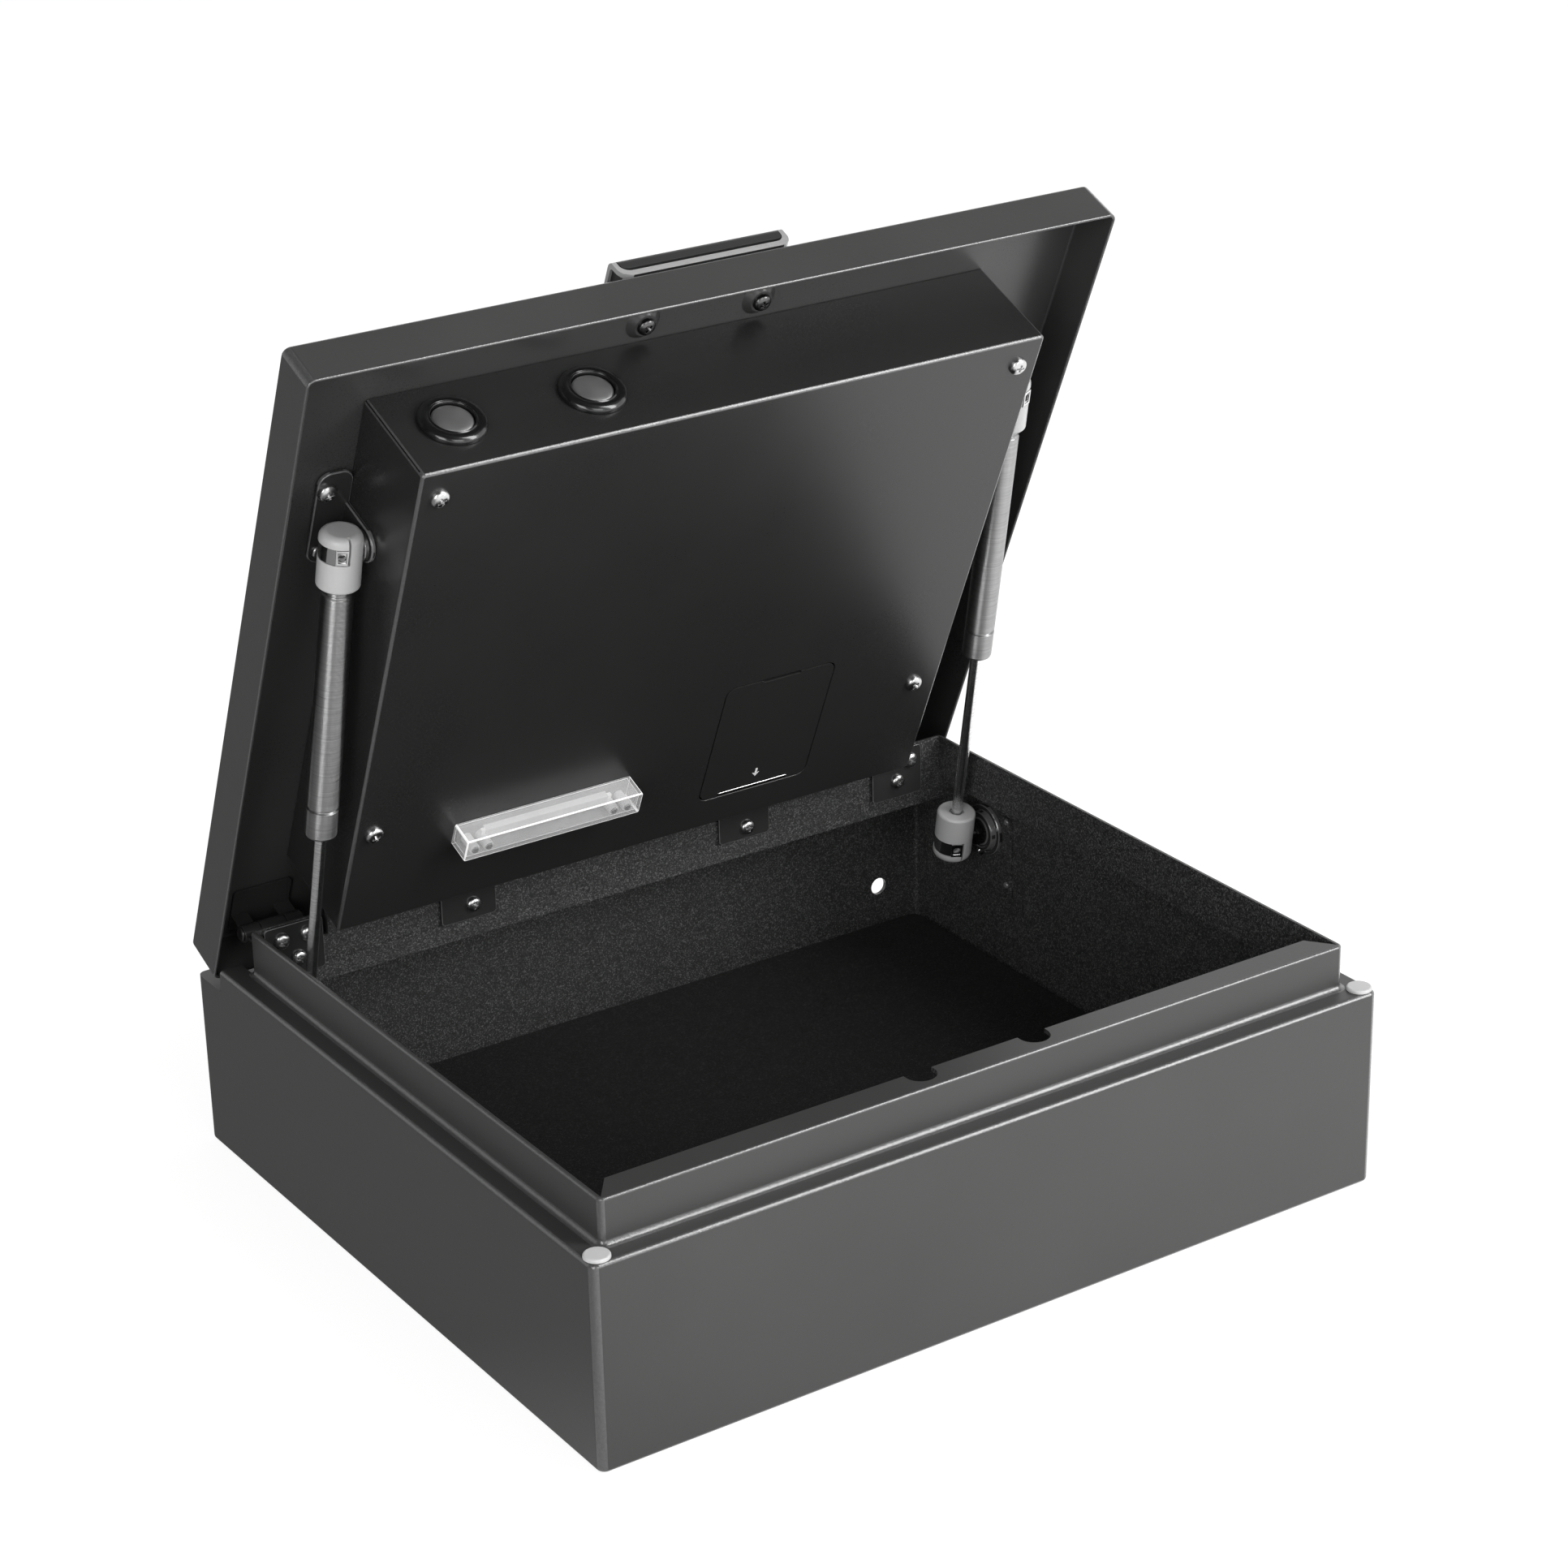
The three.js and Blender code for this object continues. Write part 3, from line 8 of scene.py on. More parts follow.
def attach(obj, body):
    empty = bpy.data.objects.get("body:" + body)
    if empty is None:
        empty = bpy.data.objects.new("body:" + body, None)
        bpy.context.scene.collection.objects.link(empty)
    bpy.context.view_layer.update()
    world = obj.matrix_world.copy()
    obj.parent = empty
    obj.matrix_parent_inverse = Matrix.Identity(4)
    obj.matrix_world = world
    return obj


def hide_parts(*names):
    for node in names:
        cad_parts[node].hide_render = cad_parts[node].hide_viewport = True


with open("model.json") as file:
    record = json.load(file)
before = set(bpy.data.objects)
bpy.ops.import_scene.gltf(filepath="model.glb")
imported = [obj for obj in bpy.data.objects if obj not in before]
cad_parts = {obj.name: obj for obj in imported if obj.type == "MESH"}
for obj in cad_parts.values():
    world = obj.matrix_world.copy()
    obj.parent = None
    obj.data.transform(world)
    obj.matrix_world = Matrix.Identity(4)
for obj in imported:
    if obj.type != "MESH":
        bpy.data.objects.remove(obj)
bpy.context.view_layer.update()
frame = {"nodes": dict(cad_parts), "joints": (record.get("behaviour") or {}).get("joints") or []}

# A car safe of coated sheet steel: a box with a raised collar, a lid with the lock housing under
# it, a light bar, a control panel and two gas struts. Pieces are drawn in millimetres: those of
# the box in the safe's own axes, those of the lid where they lie with the lid shut, and those of
# a strut along its own line. Their extents come from the frame's nodes, and the details that
# only the looks need have their own sizes here.
MM = 0.001
NODES = frame["nodes"]
JOINTS = {joint["name"]: joint for joint in frame["joints"]}


# The camera stands where the photograph was taken from
CAMERA_PLACE = (-0.8402, -1.2818, 0.8469)
CAMERA_LENS = 88.54
CAMERA_SENSOR = 36.0
CAMERA_AZIMUTH, CAMERA_ELEVATION, CAMERA_ROLL = (
    math.radians(angle) for angle in (-33.443, 23.392, -1.317))


def add_camera():
    a, e, roll = CAMERA_AZIMUTH, CAMERA_ELEVATION, CAMERA_ROLL
    back = Vector((math.sin(a) * math.cos(e), -math.cos(a) * math.cos(e), math.sin(e)))
    level = Vector((math.cos(a), math.sin(a), 0.0))
    upright = back.cross(level)
    right = level * math.cos(roll) + upright * math.sin(roll)
    up = upright * math.cos(roll) - level * math.sin(roll)
    data = bpy.data.cameras.new("camera")
    data.lens = CAMERA_LENS
    data.sensor_width = CAMERA_SENSOR
    data.clip_end = 20.0
    camera = bpy.data.objects.new("camera", data)
    bpy.context.scene.collection.objects.link(camera)
    turn = Matrix((right, up, back)).transposed().to_4x4()
    camera.matrix_world = Matrix.Translation(CAMERA_PLACE) @ turn
    bpy.context.scene.camera = camera


add_camera()


# Where the drawing axes stand in the frame
SCALE = Matrix.Scale(MM, 4)
BASE = SCALE


def lid_place():
    hinge = JOINTS["lid_hinge"]
    pivot = Vector(hinge["pos_m"])
    turn = Matrix.Rotation(-math.radians(hinge["range_deg"][1]), 4, "X")
    return Matrix.Translation(pivot) @ turn @ Matrix.Translation(-pivot) @ SCALE


def strut_place(side_name):
    """A strut's own axes: Z from its lower ball to its upper one, X the nearest to the safe's."""
    line = -Vector(JOINTS[f"strut_slide_{side_name}"]["axis"])
    across = (Vector((1, 0, 0)) - line * line.x).normalized()
    turn = Matrix((across, line.cross(across), line)).transposed().to_4x4()
    return Matrix.Translation(JOINTS[f"strut_swing_{side_name}"]["pos_m"]) @ turn @ SCALE


LID = lid_place()


class Span:
    """A node's extent in millimetres, measured along the drawing axes of a place."""

    def __init__(self, node, place):
        inverse = place.inverted()
        points = [inverse @ vertex.co for vertex in NODES[node].data.vertices]
        self.x0, self.y0, self.z0 = (min(p[k] for p in points) for k in range(3))
        self.x1, self.y1, self.z1 = (max(p[k] for p in points) for k in range(3))
        self.x, self.y, self.z = (self.x0 + self.x1) / 2, (self.y0 + self.y1) / 2, (
            self.z0 + self.z1) / 2

    def inset(self, by):
        return self.x0 + by, self.x1 - by, self.y0 + by, self.y1 - by


# Shader maths
class Signal:
    """A socket's value, so that shader maths reads as an expression."""

    def __init__(self, paint, socket):
        self.paint = paint
        self.socket = socket

    def math(self, operation, first, second):
        return self.paint.node("ShaderNodeMath", {"operation": operation},
                               {0: first, 1: second})

    def swing(self, by):
        """The value counted from its middle, times a share."""
        return (self - 0.5) * by

    def __add__(self, other):
        return self.math("ADD", self, other)

    __radd__ = __add__

    def __sub__(self, other):
        return self.math("SUBTRACT", self, other)

    def __rsub__(self, other):
        return self.math("SUBTRACT", other, self)

    def __mul__(self, other):
        return self.math("MULTIPLY", self, other)

    __rmul__ = __mul__

    def __truediv__(self, other):
        return self.math("DIVIDE", self, other)

    def __gt__(self, other):
        return self.math("GREATER_THAN", self, other)

    def __lt__(self, other):
        return self.math("LESS_THAN", self, other)


class Paint:
    """A material, the world or a node group while its nodes are laid."""

    def __init__(self, name, tree=None):
        self.made = None
        self.place = None
        if tree is None:
            self.made = bpy.data.materials.new(name)
            self.made.use_nodes = True
            tree = self.made.node_tree
        tree.nodes.clear()
        self.tree = tree

    def node(self, kind, settings=None, inputs=None, output=0):
        made = self.tree.nodes.new(kind)
        for key, value in (settings or {}).items():
            if key == "stops":
                ramp = made.color_ramp
                while len(ramp.elements) < len(value):
                    ramp.elements.new(0.5)
                for element, (position, level) in zip(ramp.elements, value):
                    element.position = position
                    element.color = (level, level, level, 1.0)
            else:
                setattr(made, key, value)
        for key, value in (inputs or {}).items():
            self.feed(made.inputs[key], value)
        return Signal(self, made.outputs[output]) if len(made.outputs) else None

    def feed(self, socket, value):
        if isinstance(value, Signal):
            self.tree.links.new(value.socket, socket)
        else:
            socket.default_value = value

    def at(self):
        if self.place is None:
            self.place = self.node("ShaderNodeTexCoord", output="Object")
        return self.place

    def stretched(self, vector, scale):
        return self.node("ShaderNodeVectorMath", {"operation": "MULTIPLY"},
                         {0: vector, 1: scale})

    def noise(self, scale, detail=2.0, rough=0.5, vector=None):
        return self.node("ShaderNodeTexNoise", None, {
            "Vector": vector or self.at(), "Scale": scale, "Detail": detail,
            "Roughness": rough})

    def grains(self, scale):
        """A random number for each cell."""
        cells = self.node("ShaderNodeTexVoronoi", None,
                          {"Vector": self.at(), "Scale": scale}, output="Color")
        return self.node("ShaderNodeSeparateColor", None, {0: cells})

    def steps(self, value, stops):
        return self.node("ShaderNodeValToRGB", {"stops": stops}, {0: value})

    def mix(self, factor, low, high):
        return self.node("ShaderNodeMix", {"data_type": "RGBA"},
                         {0: factor, 6: low, 7: high}, output=2)

    def tones(self, factor, tone, low, high, warmth=0.0):
        """A grey between two shares of a tone."""
        return self.mix(factor, grey(tone * low, warmth), grey(tone * high, warmth))

    def bump(self, height, distance):
        return self.node("ShaderNodeBump", None, {
            "Height": height, "Distance": distance, "Strength": 1.0})

    def surface(self, inputs):
        shader = self.node("ShaderNodeBsdfPrincipled", None, inputs)
        self.node("ShaderNodeOutputMaterial", None, {"Surface": shader})
        return self.made


def apart(paint, vector):
    parts = paint.tree.nodes.new("ShaderNodeSeparateXYZ")
    paint.feed(parts.inputs[0], vector)
    return [Signal(paint, socket) for socket in parts.outputs]


def grey(level, warmth=0.0):
    return (level * (1 + warmth), level, level * (1 - warmth), 1.0)


# Finishes
def powder_coat(name, tone, shine, peel_depth, grain_depth):
    """Baked powder: soft orange peel, a fine grain that also mottles the tone, faint clouds."""
    paint = Paint(name)
    peel = paint.noise(430.0)
    grain = paint.noise(1700.0, 3.0, 0.6)
    cloud = paint.noise(11.0, 3.0)
    return paint.surface({
        "Base Color": paint.tones(cloud * 0.6 + grain * 0.4, tone, 0.74, 1.26, 0.01),
        "Roughness": shine + cloud.swing(0.10) + grain.swing(0.12),
        "Normal": paint.bump(peel * peel_depth + grain * grain_depth, 0.00012)})


def bend_highlight_coat(name, tone, shine, sparkle):
    """The same powder where it is drawn thin over a bend: glossier, with a coarse sparkle, and a
    lighter tone that is a painted highlight.
    """
    paint = Paint(name)
    grain = paint.noise(900.0, 3.0, 0.7)
    peel = paint.noise(330.0)
    return paint.surface({
        "Base Color": paint.tones(grain, tone, 0.7, 1.5),
        "Roughness": shine + peel.swing(0.12),
        "Specular IOR Level": 1.0,
        "Coat Weight": 0.35 + grain.swing(0.8),
        "Coat Roughness": 0.16,
        "Normal": paint.bump(grain + peel * 0.5, sparkle)})


def sand_coat(name, tone, shine, depth):
    """The rougher coat inside the box: a sand texture, dense with small dull glints painted into its
    colour.
    """
    paint = Paint(name)
    sand = paint.noise(1900.0, 3.0, 0.62)
    lumps = paint.noise(420.0)
    painted_glints = paint.steps(paint.grains(2100.0), ((0.0, 0.0), (0.5, 0.05), (0.85, 0.4), (1.0, 1.0)))
    return paint.surface({
        "Base Color": paint.tones(painted_glints, tone, 0.6, 7.0),
        "Roughness": shine - painted_glints * 0.15 + lumps.swing(0.1),
        "Normal": paint.bump(sand + lumps * 0.4, depth)})


def felt_finish():
    """Matted felt: a soft nap of hairs, with a few painted glints as pale specks."""
    paint = Paint("felt")
    hairs = paint.noise(1400.0, 4.0, 0.7, paint.stretched(paint.at(), (1.0, 1.6, 1.0)))
    nap = paint.noise(120.0, 3.0)
    painted_glints = paint.steps(paint.grains(1800.0), ((0.0, 0.0), (0.8, 0.0), (1.0, 1.0)))
    return paint.surface({
        "Base Color": paint.mix(painted_glints, paint.mix(nap, grey(0.002), grey(0.006)), grey(0.022)),
        "Roughness": 0.98,
        "Specular IOR Level": 0.15,
        "Sheen Weight": 0.04,
        "Sheen Roughness": 0.5,
        "Normal": paint.bump(hairs + nap * 0.4, 0.0004)})


def worked_metal(name, tone, shine, grain_scale, grain_depth, warmth=0.0):
    """Plated or rolled metal with a fine grain and slight stains."""
    paint = Paint(name)
    grain = paint.noise(grain_scale, 3.0)
    stain = paint.noise(90.0, 3.0)
    return paint.surface({
        "Base Color": paint.tones(stain, tone, 0.86, 1.08, warmth),
        "Metallic": 1.0,
        "Roughness": shine + stain.swing(0.12) + grain.swing(0.08),
        "Normal": paint.bump(grain, grain_depth)})


def turned_metal(name, tone, shine, pitch, slope):
    """Metal brushed round its axis: fine lines that follow the piece's own UV, in millimetres."""
    paint = Paint(name)
    along = paint.node("ShaderNodeTexCoord", output="UV")
    v = apart(paint, along)[1]
    streaks = paint.noise(1.0, 4.0, 0.7, paint.stretched(along, (1.5, 1.1, 1.0)))
    bands = paint.noise(1.0, 2.0, 0.5, paint.stretched(along, (0.7, 0.25, 1.0)))
    half = pitch / 2
    ridges = v.math("PINGPONG", v + streaks * 0.15, half) / half
    return paint.surface({
        "Base Color": paint.tones(streaks, tone, 0.45, 1.5),
        "Metallic": 1.0,
        "Roughness": shine + streaks.swing(0.10) + bands.swing(0.08),
        "Normal": paint.bump(ridges * (0.6 + streaks * 0.6), slope * half * MM)})


def moulded_plastic(name, tone, shine, grain_depth, clear=0.0):
    """Moulded plastic or paint with a fine grain and faint flow marks."""
    paint = Paint(name)
    grain = paint.noise(1900.0)
    flow = paint.noise(60.0, 3.0)
    return paint.surface({
        "Base Color": paint.tones(flow, tone, 0.9, 1.08),
        "Roughness": shine + flow.swing(0.08) + grain.swing(0.05),
        "Coat Weight": clear,
        "Coat Roughness": 0.06,
        "Normal": paint.bump(grain + flow * 0.3, grain_depth)})


def frosted_lens(name, tone, cover, painted_glow):
    """Milky clear plastic: its walls show through, and an emission paints light on it though it is
    no lamp, more on its edges.
    """
    paint = Paint(name)
    frost = paint.noise(1700.0)
    flow = paint.noise(45.0)
    return paint.surface({
        "Base Color": paint.tones(flow, tone, 0.94, 1.04),
        "Roughness": 0.24 + frost.swing(0.1),
        "Alpha": cover + flow.swing(0.1),
        "Emission Color": grey(1.0),
        "Emission Strength": painted_glow,
        "Normal": paint.bump(frost, 0.000006)})


def board_finish():
    """Green circuit board with raised tracks."""
    paint = Paint("board")
    tracks = paint.node("ShaderNodeTexBrick", {"offset": 0.5}, {
        "Vector": paint.at(), "Scale": 190.0, "Mortar Size": 0.03}, output="Fac")
    return paint.surface({
        "Base Color": paint.mix(tracks, (0.012, 0.052, 0.028, 1.0), (0.03, 0.11, 0.06, 1.0)),
        "Roughness": 0.38 + paint.noise(200.0).swing(0.15),
        "Normal": paint.bump(tracks, 0.00004)})


def cell_finish():
    """The dark glossy wrap of a battery."""
    paint = Paint("cell_wrap")
    wrap = paint.noise(160.0, 3.0, 0.5, paint.stretched(paint.at(), (1.0, 0.2, 1.0)))
    return paint.surface({
        "Base Color": paint.mix(wrap, grey(0.025), grey(0.05)),
        "Roughness": 0.32 + wrap.swing(0.15),
        "Coat Weight": 0.4,
        "Normal": paint.bump(wrap, 0.00006)})


OUTER_COAT = powder_coat("outer_coat", 0.041, 0.38, 0.22, 0.14)
# Bends of the box, lid and housing: their lighter tone is a painted highlight
BEND_HIGHLIGHT_COAT = bend_highlight_coat("bend_highlight_coat", 0.06, 0.22, 0.00016)
# The coat inside the box, in a lower tone than the outer coat: the lower tone is painted shade
INNER_COAT = sand_coat("inner_coat", 0.024, 0.5, 0.00022)
LID_COAT = powder_coat("lid_inner_coat", 0.042, 0.30, 0.14, 0.06)
# The housing under the lid, at half the outer coat's tone: the lower tone is painted shade
HOUSING_COAT = powder_coat("housing_coat", 0.020, 0.30, 0.12, 0.10)
LEAF_COAT = powder_coat("leaf_coat", 0.028, 0.20, 0.10, 0.05)
# Rims of leaves, brackets and mounts, and the wall rivets, in four times the leaf coat's tone: a
# painted highlight
LEAF_EDGE_HIGHLIGHT = bend_highlight_coat("leaf_edge_highlight", 0.12, 0.16, 0.00003)
FELT = felt_finish()
BUMPER = moulded_plastic("bumper_rubber", 0.54, 0.42, 0.00003)
CHROME = worked_metal("chrome", 0.78, 0.10, 900.0, 0.000004)
SCREW_STEEL = worked_metal("screw_steel", 0.6, 0.28, 900.0, 0.00001)
DARK_SCREW = worked_metal("dark_screw", 0.12, 0.26, 900.0, 0.00001)
SPRING_STEEL = worked_metal("spring_steel", 0.68, 0.14, 1400.0, 0.000006)
ZINC = worked_metal("zinc_plate", 0.42, 0.36, 700.0, 0.00003)
BOLT_STEEL = worked_metal("bolt_steel", 0.55, 0.44, 1600.0, 0.00005)
BRASS = worked_metal("brass", 0.5, 0.32, 900.0, 0.00002, warmth=0.35)
TUBE_STEEL = turned_metal("brushed_tube", 0.36, 0.3, 0.45, 0.4)
ROD_STEEL = turned_metal("polished_rod", 0.8, 0.22, 0.3, 0.2)
SILVER_PAINT = moulded_plastic("silver_paint", 0.34, 0.28, 0.00002, clear=0.3)
GREY_PLASTIC = moulded_plastic("grey_plastic", 0.5, 0.34, 0.00004)
BLACK_PLASTIC = moulded_plastic("black_plastic", 0.02, 0.4, 0.00005)
GLOSS_BLACK = moulded_plastic("gloss_black", 0.008, 0.22, 0.000015, clear=0.5)
# The lens and its edges give off painted light by emission, the edges more
LENS = frosted_lens("frosted_lens", 0.82, 0.24, 0.05)
LENS_EDGE_GLOW = frosted_lens("lens_edge_painted_glow", 0.9, 0.85, 0.3)
BOARD = board_finish()
CELL_WRAP = cell_finish()
LED_WHITE = moulded_plastic("led_face", 0.85, 0.35, 0.00002)
STRIP_WHITE = moulded_plastic("white_strip", 0.62, 0.5, 0.00003)
STRIP_GREY = moulded_plastic("grey_strip", 0.2, 0.5, 0.00003)


# Outlines
def arc(cx, cy, radius, start, end, steps):
    """Points of an arc, its angles in degrees."""
    angles = [math.radians(start + (end - start) * i / steps) for i in range(steps + 1)]
    return [(cx + radius * math.cos(a), cy + radius * math.sin(a)) for a in angles]


def round_rect(x0, x1, y0, y1, radius, steps=8):
    corners = ((x1, y1, -1, -1, 0), (x0, y1, 1, -1, 90), (x0, y0, 1, 1, 180), (x1, y0, -1, 1, 270))
    return [point for x, y, sx, sy, start in corners
            for point in arc(x + sx * radius, y + sy * radius, radius, start, start + 90, steps)]


# Meshes
def piece_of(name, points, faces):
    mesh = bpy.data.meshes.new(name)
    mesh.from_pydata([tuple(p) for p in points], [], faces)
    mesh.validate()
    piece = bpy.data.objects.new(name, mesh)
    bpy.context.scene.collection.objects.link(piece)
    return piece


def loft(name, rings):
    """A closed body through rings of as many points each, from the first cap to the last."""
    count = len(rings[0])
    points = [p for ring in rings for p in ring]
    faces = []
    for r in range(len(rings) - 1):
        for i in range(count):
            a, b = r * count + i, r * count + (i + 1) % count
            faces.append((a, b, b + count, a + count))
    faces.append(tuple(range(count - 1, -1, -1)))
    last = (len(rings) - 1) * count
    faces.append(tuple(range(last, last + count)))
    return piece_of(name, points, faces)


def level_ring(box, radius, z, steps=8):
    return [(x, y, z) for x, y in round_rect(*box, max(radius, 0.05), steps)]


def grown(box, by):
    x0, x1, y0, y1 = box
    return x0 - by, x1 + by, y0 - by, y1 + by


def quarter(steps):
    """Pairs that run a quarter turn: how far over, how far up."""
    for i in range(steps + 1):
        angle = math.pi / 2 * i / steps
        yield 1 - math.cos(angle), math.sin(angle)


def low_bend(box, corner, z, radius, steps):
    """The rings of a bend from a block's low face up to its walls."""
    return [level_ring(grown(box, -radius * over), corner - radius * over,
                       z + radius * (1 - up)) for over, up in reversed(list(quarter(steps)))]


def high_bend(box, corner, z, radius, steps):
    """The rings of a bend from a block's walls up to its high face."""
    return [level_ring(grown(box, -radius * over), corner - radius * over,
                       z - radius * (1 - up)) for over, up in quarter(steps)]


def round_block(name, box, z0, z1, radius, low=0.0, high=0.0, steps=5):
    """A block with round upright corners, and bends along its low and high edges."""
    rings = low_bend(box, radius, z0, low, steps) if low else [level_ring(box, radius, z0)]
    rings += high_bend(box, radius, z1, high, steps) if high else [level_ring(box, radius, z1)]
    return loft(name, rings)


def slab(x0, x1, y0, y1, z0, z1):
    ring = ((x0, y0), (x1, y0), (x1, y1), (x0, y1))
    return loft("slab", [[(x, y, z) for x, y in ring] for z in (z0, z1)])


def pulled(name, outline, axis, start, end):
    """An outline pulled along an axis: given as (y, z) for x, (x, z) for y and (x, y) for z."""
    area = sum(a[0] * b[1] - b[0] * a[1] for a, b in zip(outline, outline[1:] + outline[:1]))
    points = outline if area > 0 else outline[::-1]
    if axis == "y":
        points = points[::-1]
    place = {"x": lambda p, d: (d, p[0], p[1]), "y": lambda p, d: (p[0], d, p[1]),
             "z": lambda p, d: (p[0], p[1], d)}[axis]
    return loft(name, [[place(p, d) for p in points] for d in (start, end)])


def turned(name, profile, steps=48, place=None):
    """A piece turned about Z from (radius, height) points, with a UV round and along it. A
    profile that starts off the axis closes on itself."""
    hollow = profile[0][0] > 0
    if hollow:
        profile = profile + profile[:1]
    heights = [0.0]
    for a, b in zip(profile, profile[1:]):
        heights.append(heights[-1] + math.dist(a, b))
    points, rows = [], []
    for radius, z in profile:
        row = []
        for i in range(steps if radius > 0 else 1):
            angle = 2 * math.pi * i / steps
            points.append((radius * math.cos(angle), radius * math.sin(angle), z))
            row.append(len(points) - 1)
        rows.append(row * steps if radius <= 0 else row)
    if hollow:
        rows[-1] = rows[0]
        points = points[:-steps]
    faces, uvs = [], []
    for r, (low, high) in enumerate(zip(rows, rows[1:])):
        for i in range(steps):
            k = (i + 1) % steps
            corners = [(low[i], i, r), (low[k], i + 1, r), (high[k], i + 1, r + 1),
                       (high[i], i, r + 1)]
            kept = [c for j, c in enumerate(corners) if c[0] != corners[j - 1][0]]
            if len(kept) > 2:
                faces.append(tuple(c[0] for c in kept))
                uvs.extend((c[1] / steps, heights[c[2]]) for c in kept)
    piece = piece_of(name, points, faces)
    layer = piece.data.uv_layers.new(name="around")
    for loop, uv in zip(layer.data, uvs):
        loop.uv = uv
    if place is not None:
        piece.data.transform(place)
    return piece


def facing(centre, direction, spin=0.0):
    """The place that carries Z to a direction at a centre."""
    turn = Vector(direction).to_track_quat("Z", "Y").to_matrix().to_4x4()
    return Matrix.Translation(centre) @ turn @ Matrix.Rotation(spin, 4, "Z")


def rod(radius, centre, direction, start, end, steps=48):
    return turned("rod", [(0, start), (radius, start), (radius, end), (0, end)], steps,
                  facing(centre, direction))


def baked(piece):
    """The piece with its modifiers worked into its mesh."""
    bpy.context.view_layer.update()
    graph = bpy.context.evaluated_depsgraph_get()
    done = bpy.data.meshes.new_from_object(piece.evaluated_get(graph))
    old = piece.data
    piece.modifiers.clear()
    piece.data = done
    bpy.data.meshes.remove(old)
    return piece


def solid_step(piece, tools, operation):
    for tool in tools:
        step = piece.modifiers.new("step", "BOOLEAN")
        step.operation = operation
        step.solver = "EXACT"
        step.object = tool
        baked(piece)
        bpy.data.objects.remove(tool)
    return piece


def cut(piece, *tools):
    return solid_step(piece, tools, "DIFFERENCE")


def shared(piece, other):
    return solid_step(piece, [other], "INTERSECT")


def gathered(piece, *others):
    """Pieces that only touch, kept in one mesh."""
    bpy.ops.object.select_all(action="DESELECT")
    for part in (piece, *others):
        part.select_set(True)
    bpy.context.view_layer.objects.active = piece
    bpy.ops.object.join()
    return piece


def softened(piece, width, steps=2, angle=38):
    """Every edge sharper than the angle, rounded."""
    edge = piece.modifiers.new("edge", "BEVEL")
    edge.width = width
    edge.segments = steps
    edge.limit_method = "ANGLE"
    edge.angle_limit = math.radians(angle)
    edge.miter_outer = "MITER_ARC"
    return baked(piece)


def bent(aim):
    """Whether a face looks along none of its piece's axes."""
    return max(abs(part) for part in aim) < 0.985


# The bend faces: on leaves, brackets and mounts they take a painted highlight, on the lens a
# brighter emission that paints light
def on_bends(p, aim):
    return bent(aim)


def painted(piece, *materials, where=None):
    """One material, or others on the faces that a test of their middle and aim gives a number."""
    piece.data.materials.clear()
    for material in materials:
        piece.data.materials.append(material)
    for face in piece.data.polygons:
        face.material_index = int(where(face.center, face.normal)) if where else 0
    return piece


def fitted(piece, name, place, body, slot, *nodes, smooth=40):
    """Puts a finished piece in its place on its body, in the stead of its nodes."""
    piece.name = name
    piece.data.name = name
    piece.data.transform(place)
    for face in piece.data.polygons:
        face.use_smooth = True
    piece.data.set_sharp_from_angle(angle=math.radians(smooth))
    flats = piece.modifiers.new("flats", "WEIGHTED_NORMAL")
    flats.weight = 80
    flats.keep_sharp = True
    baked(piece)
    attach(piece, body)
    if nodes:
        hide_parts(*nodes)
    return piece


# The box
SHEET = 2.0
BEND = 2.0
CORNER = 4.0
WELD = 2.4
FLOOR_BEND = 1.2
COLLAR_CORNER = SHEET + 1
COLLAR_EDGE = 1.0
NEAR = 0.2
EDGE = 0.35
REACH = 5.0
DOWN = (0, 0, -1)
FORWARD = (0, -1, 0)
shell = Span("base_shell", BASE)
collar = Span("collar_frame", BASE)
LEDGE = shell.z1
CHANNEL = collar.z0 + SHEET
CHANNEL_WALL = 0.3
STEP = 24.5
FLANGE = 14.0
FLANGE_SLOPE = 9.0
NOTCH_RADIUS = 7.0
NOTCH_DEPTH = 9.0
PANEL_SCREWS = (Span("panel_screw_left", LID).x, Span("panel_screw_right", LID).x)
BAND_NOTCH = (3.2, 11.0)
HINGE_Y = JOINTS["lid_hinge"]["pos_m"][1] / MM
HINGE_Z = JOINTS["lid_hinge"]["pos_m"][2] / MM
HINGE_LEAVES = [Span(f"hinge_base_leaf_{n}", BASE) for n in (1, 2, 3, 4)]
NOTCH_SIDES = (1, -1, 1, -1)
CABLE_HOLE = (25.8, 23.7, 4.4)
mount_left = Span("strut_wall_mount_left", BASE)
SIDE_STRIP_WIDTH = 7.0
SIDE_STRIP_SHEET = 1.5
SIDE_STRIP_LENGTH = 42.0
SIDE_STRIP_TOP = LEDGE - 11.0
SIDE_STRIP_BACK = mount_left.y0 - 1.5


def outer_skin():
    """The box's outer faces: floor bend, walls, ledge, the weld at the collar and its top."""
    walls, ring = shell.inset(0.0), collar.inset(0.0)
    weld = [level_ring(grown(ring, WELD * (1 - up)), COLLAR_CORNER + WELD * (1 - up),
                       LEDGE + WELD * over) for over, up in quarter(4)]
    return loft("box", low_bend(walls, CORNER, shell.z0, BEND, 6)
                + high_bend(walls, CORNER, LEDGE, BEND, 6) + weld
                + high_bend(ring, COLLAR_CORNER, collar.z1, COLLAR_EDGE, 4))


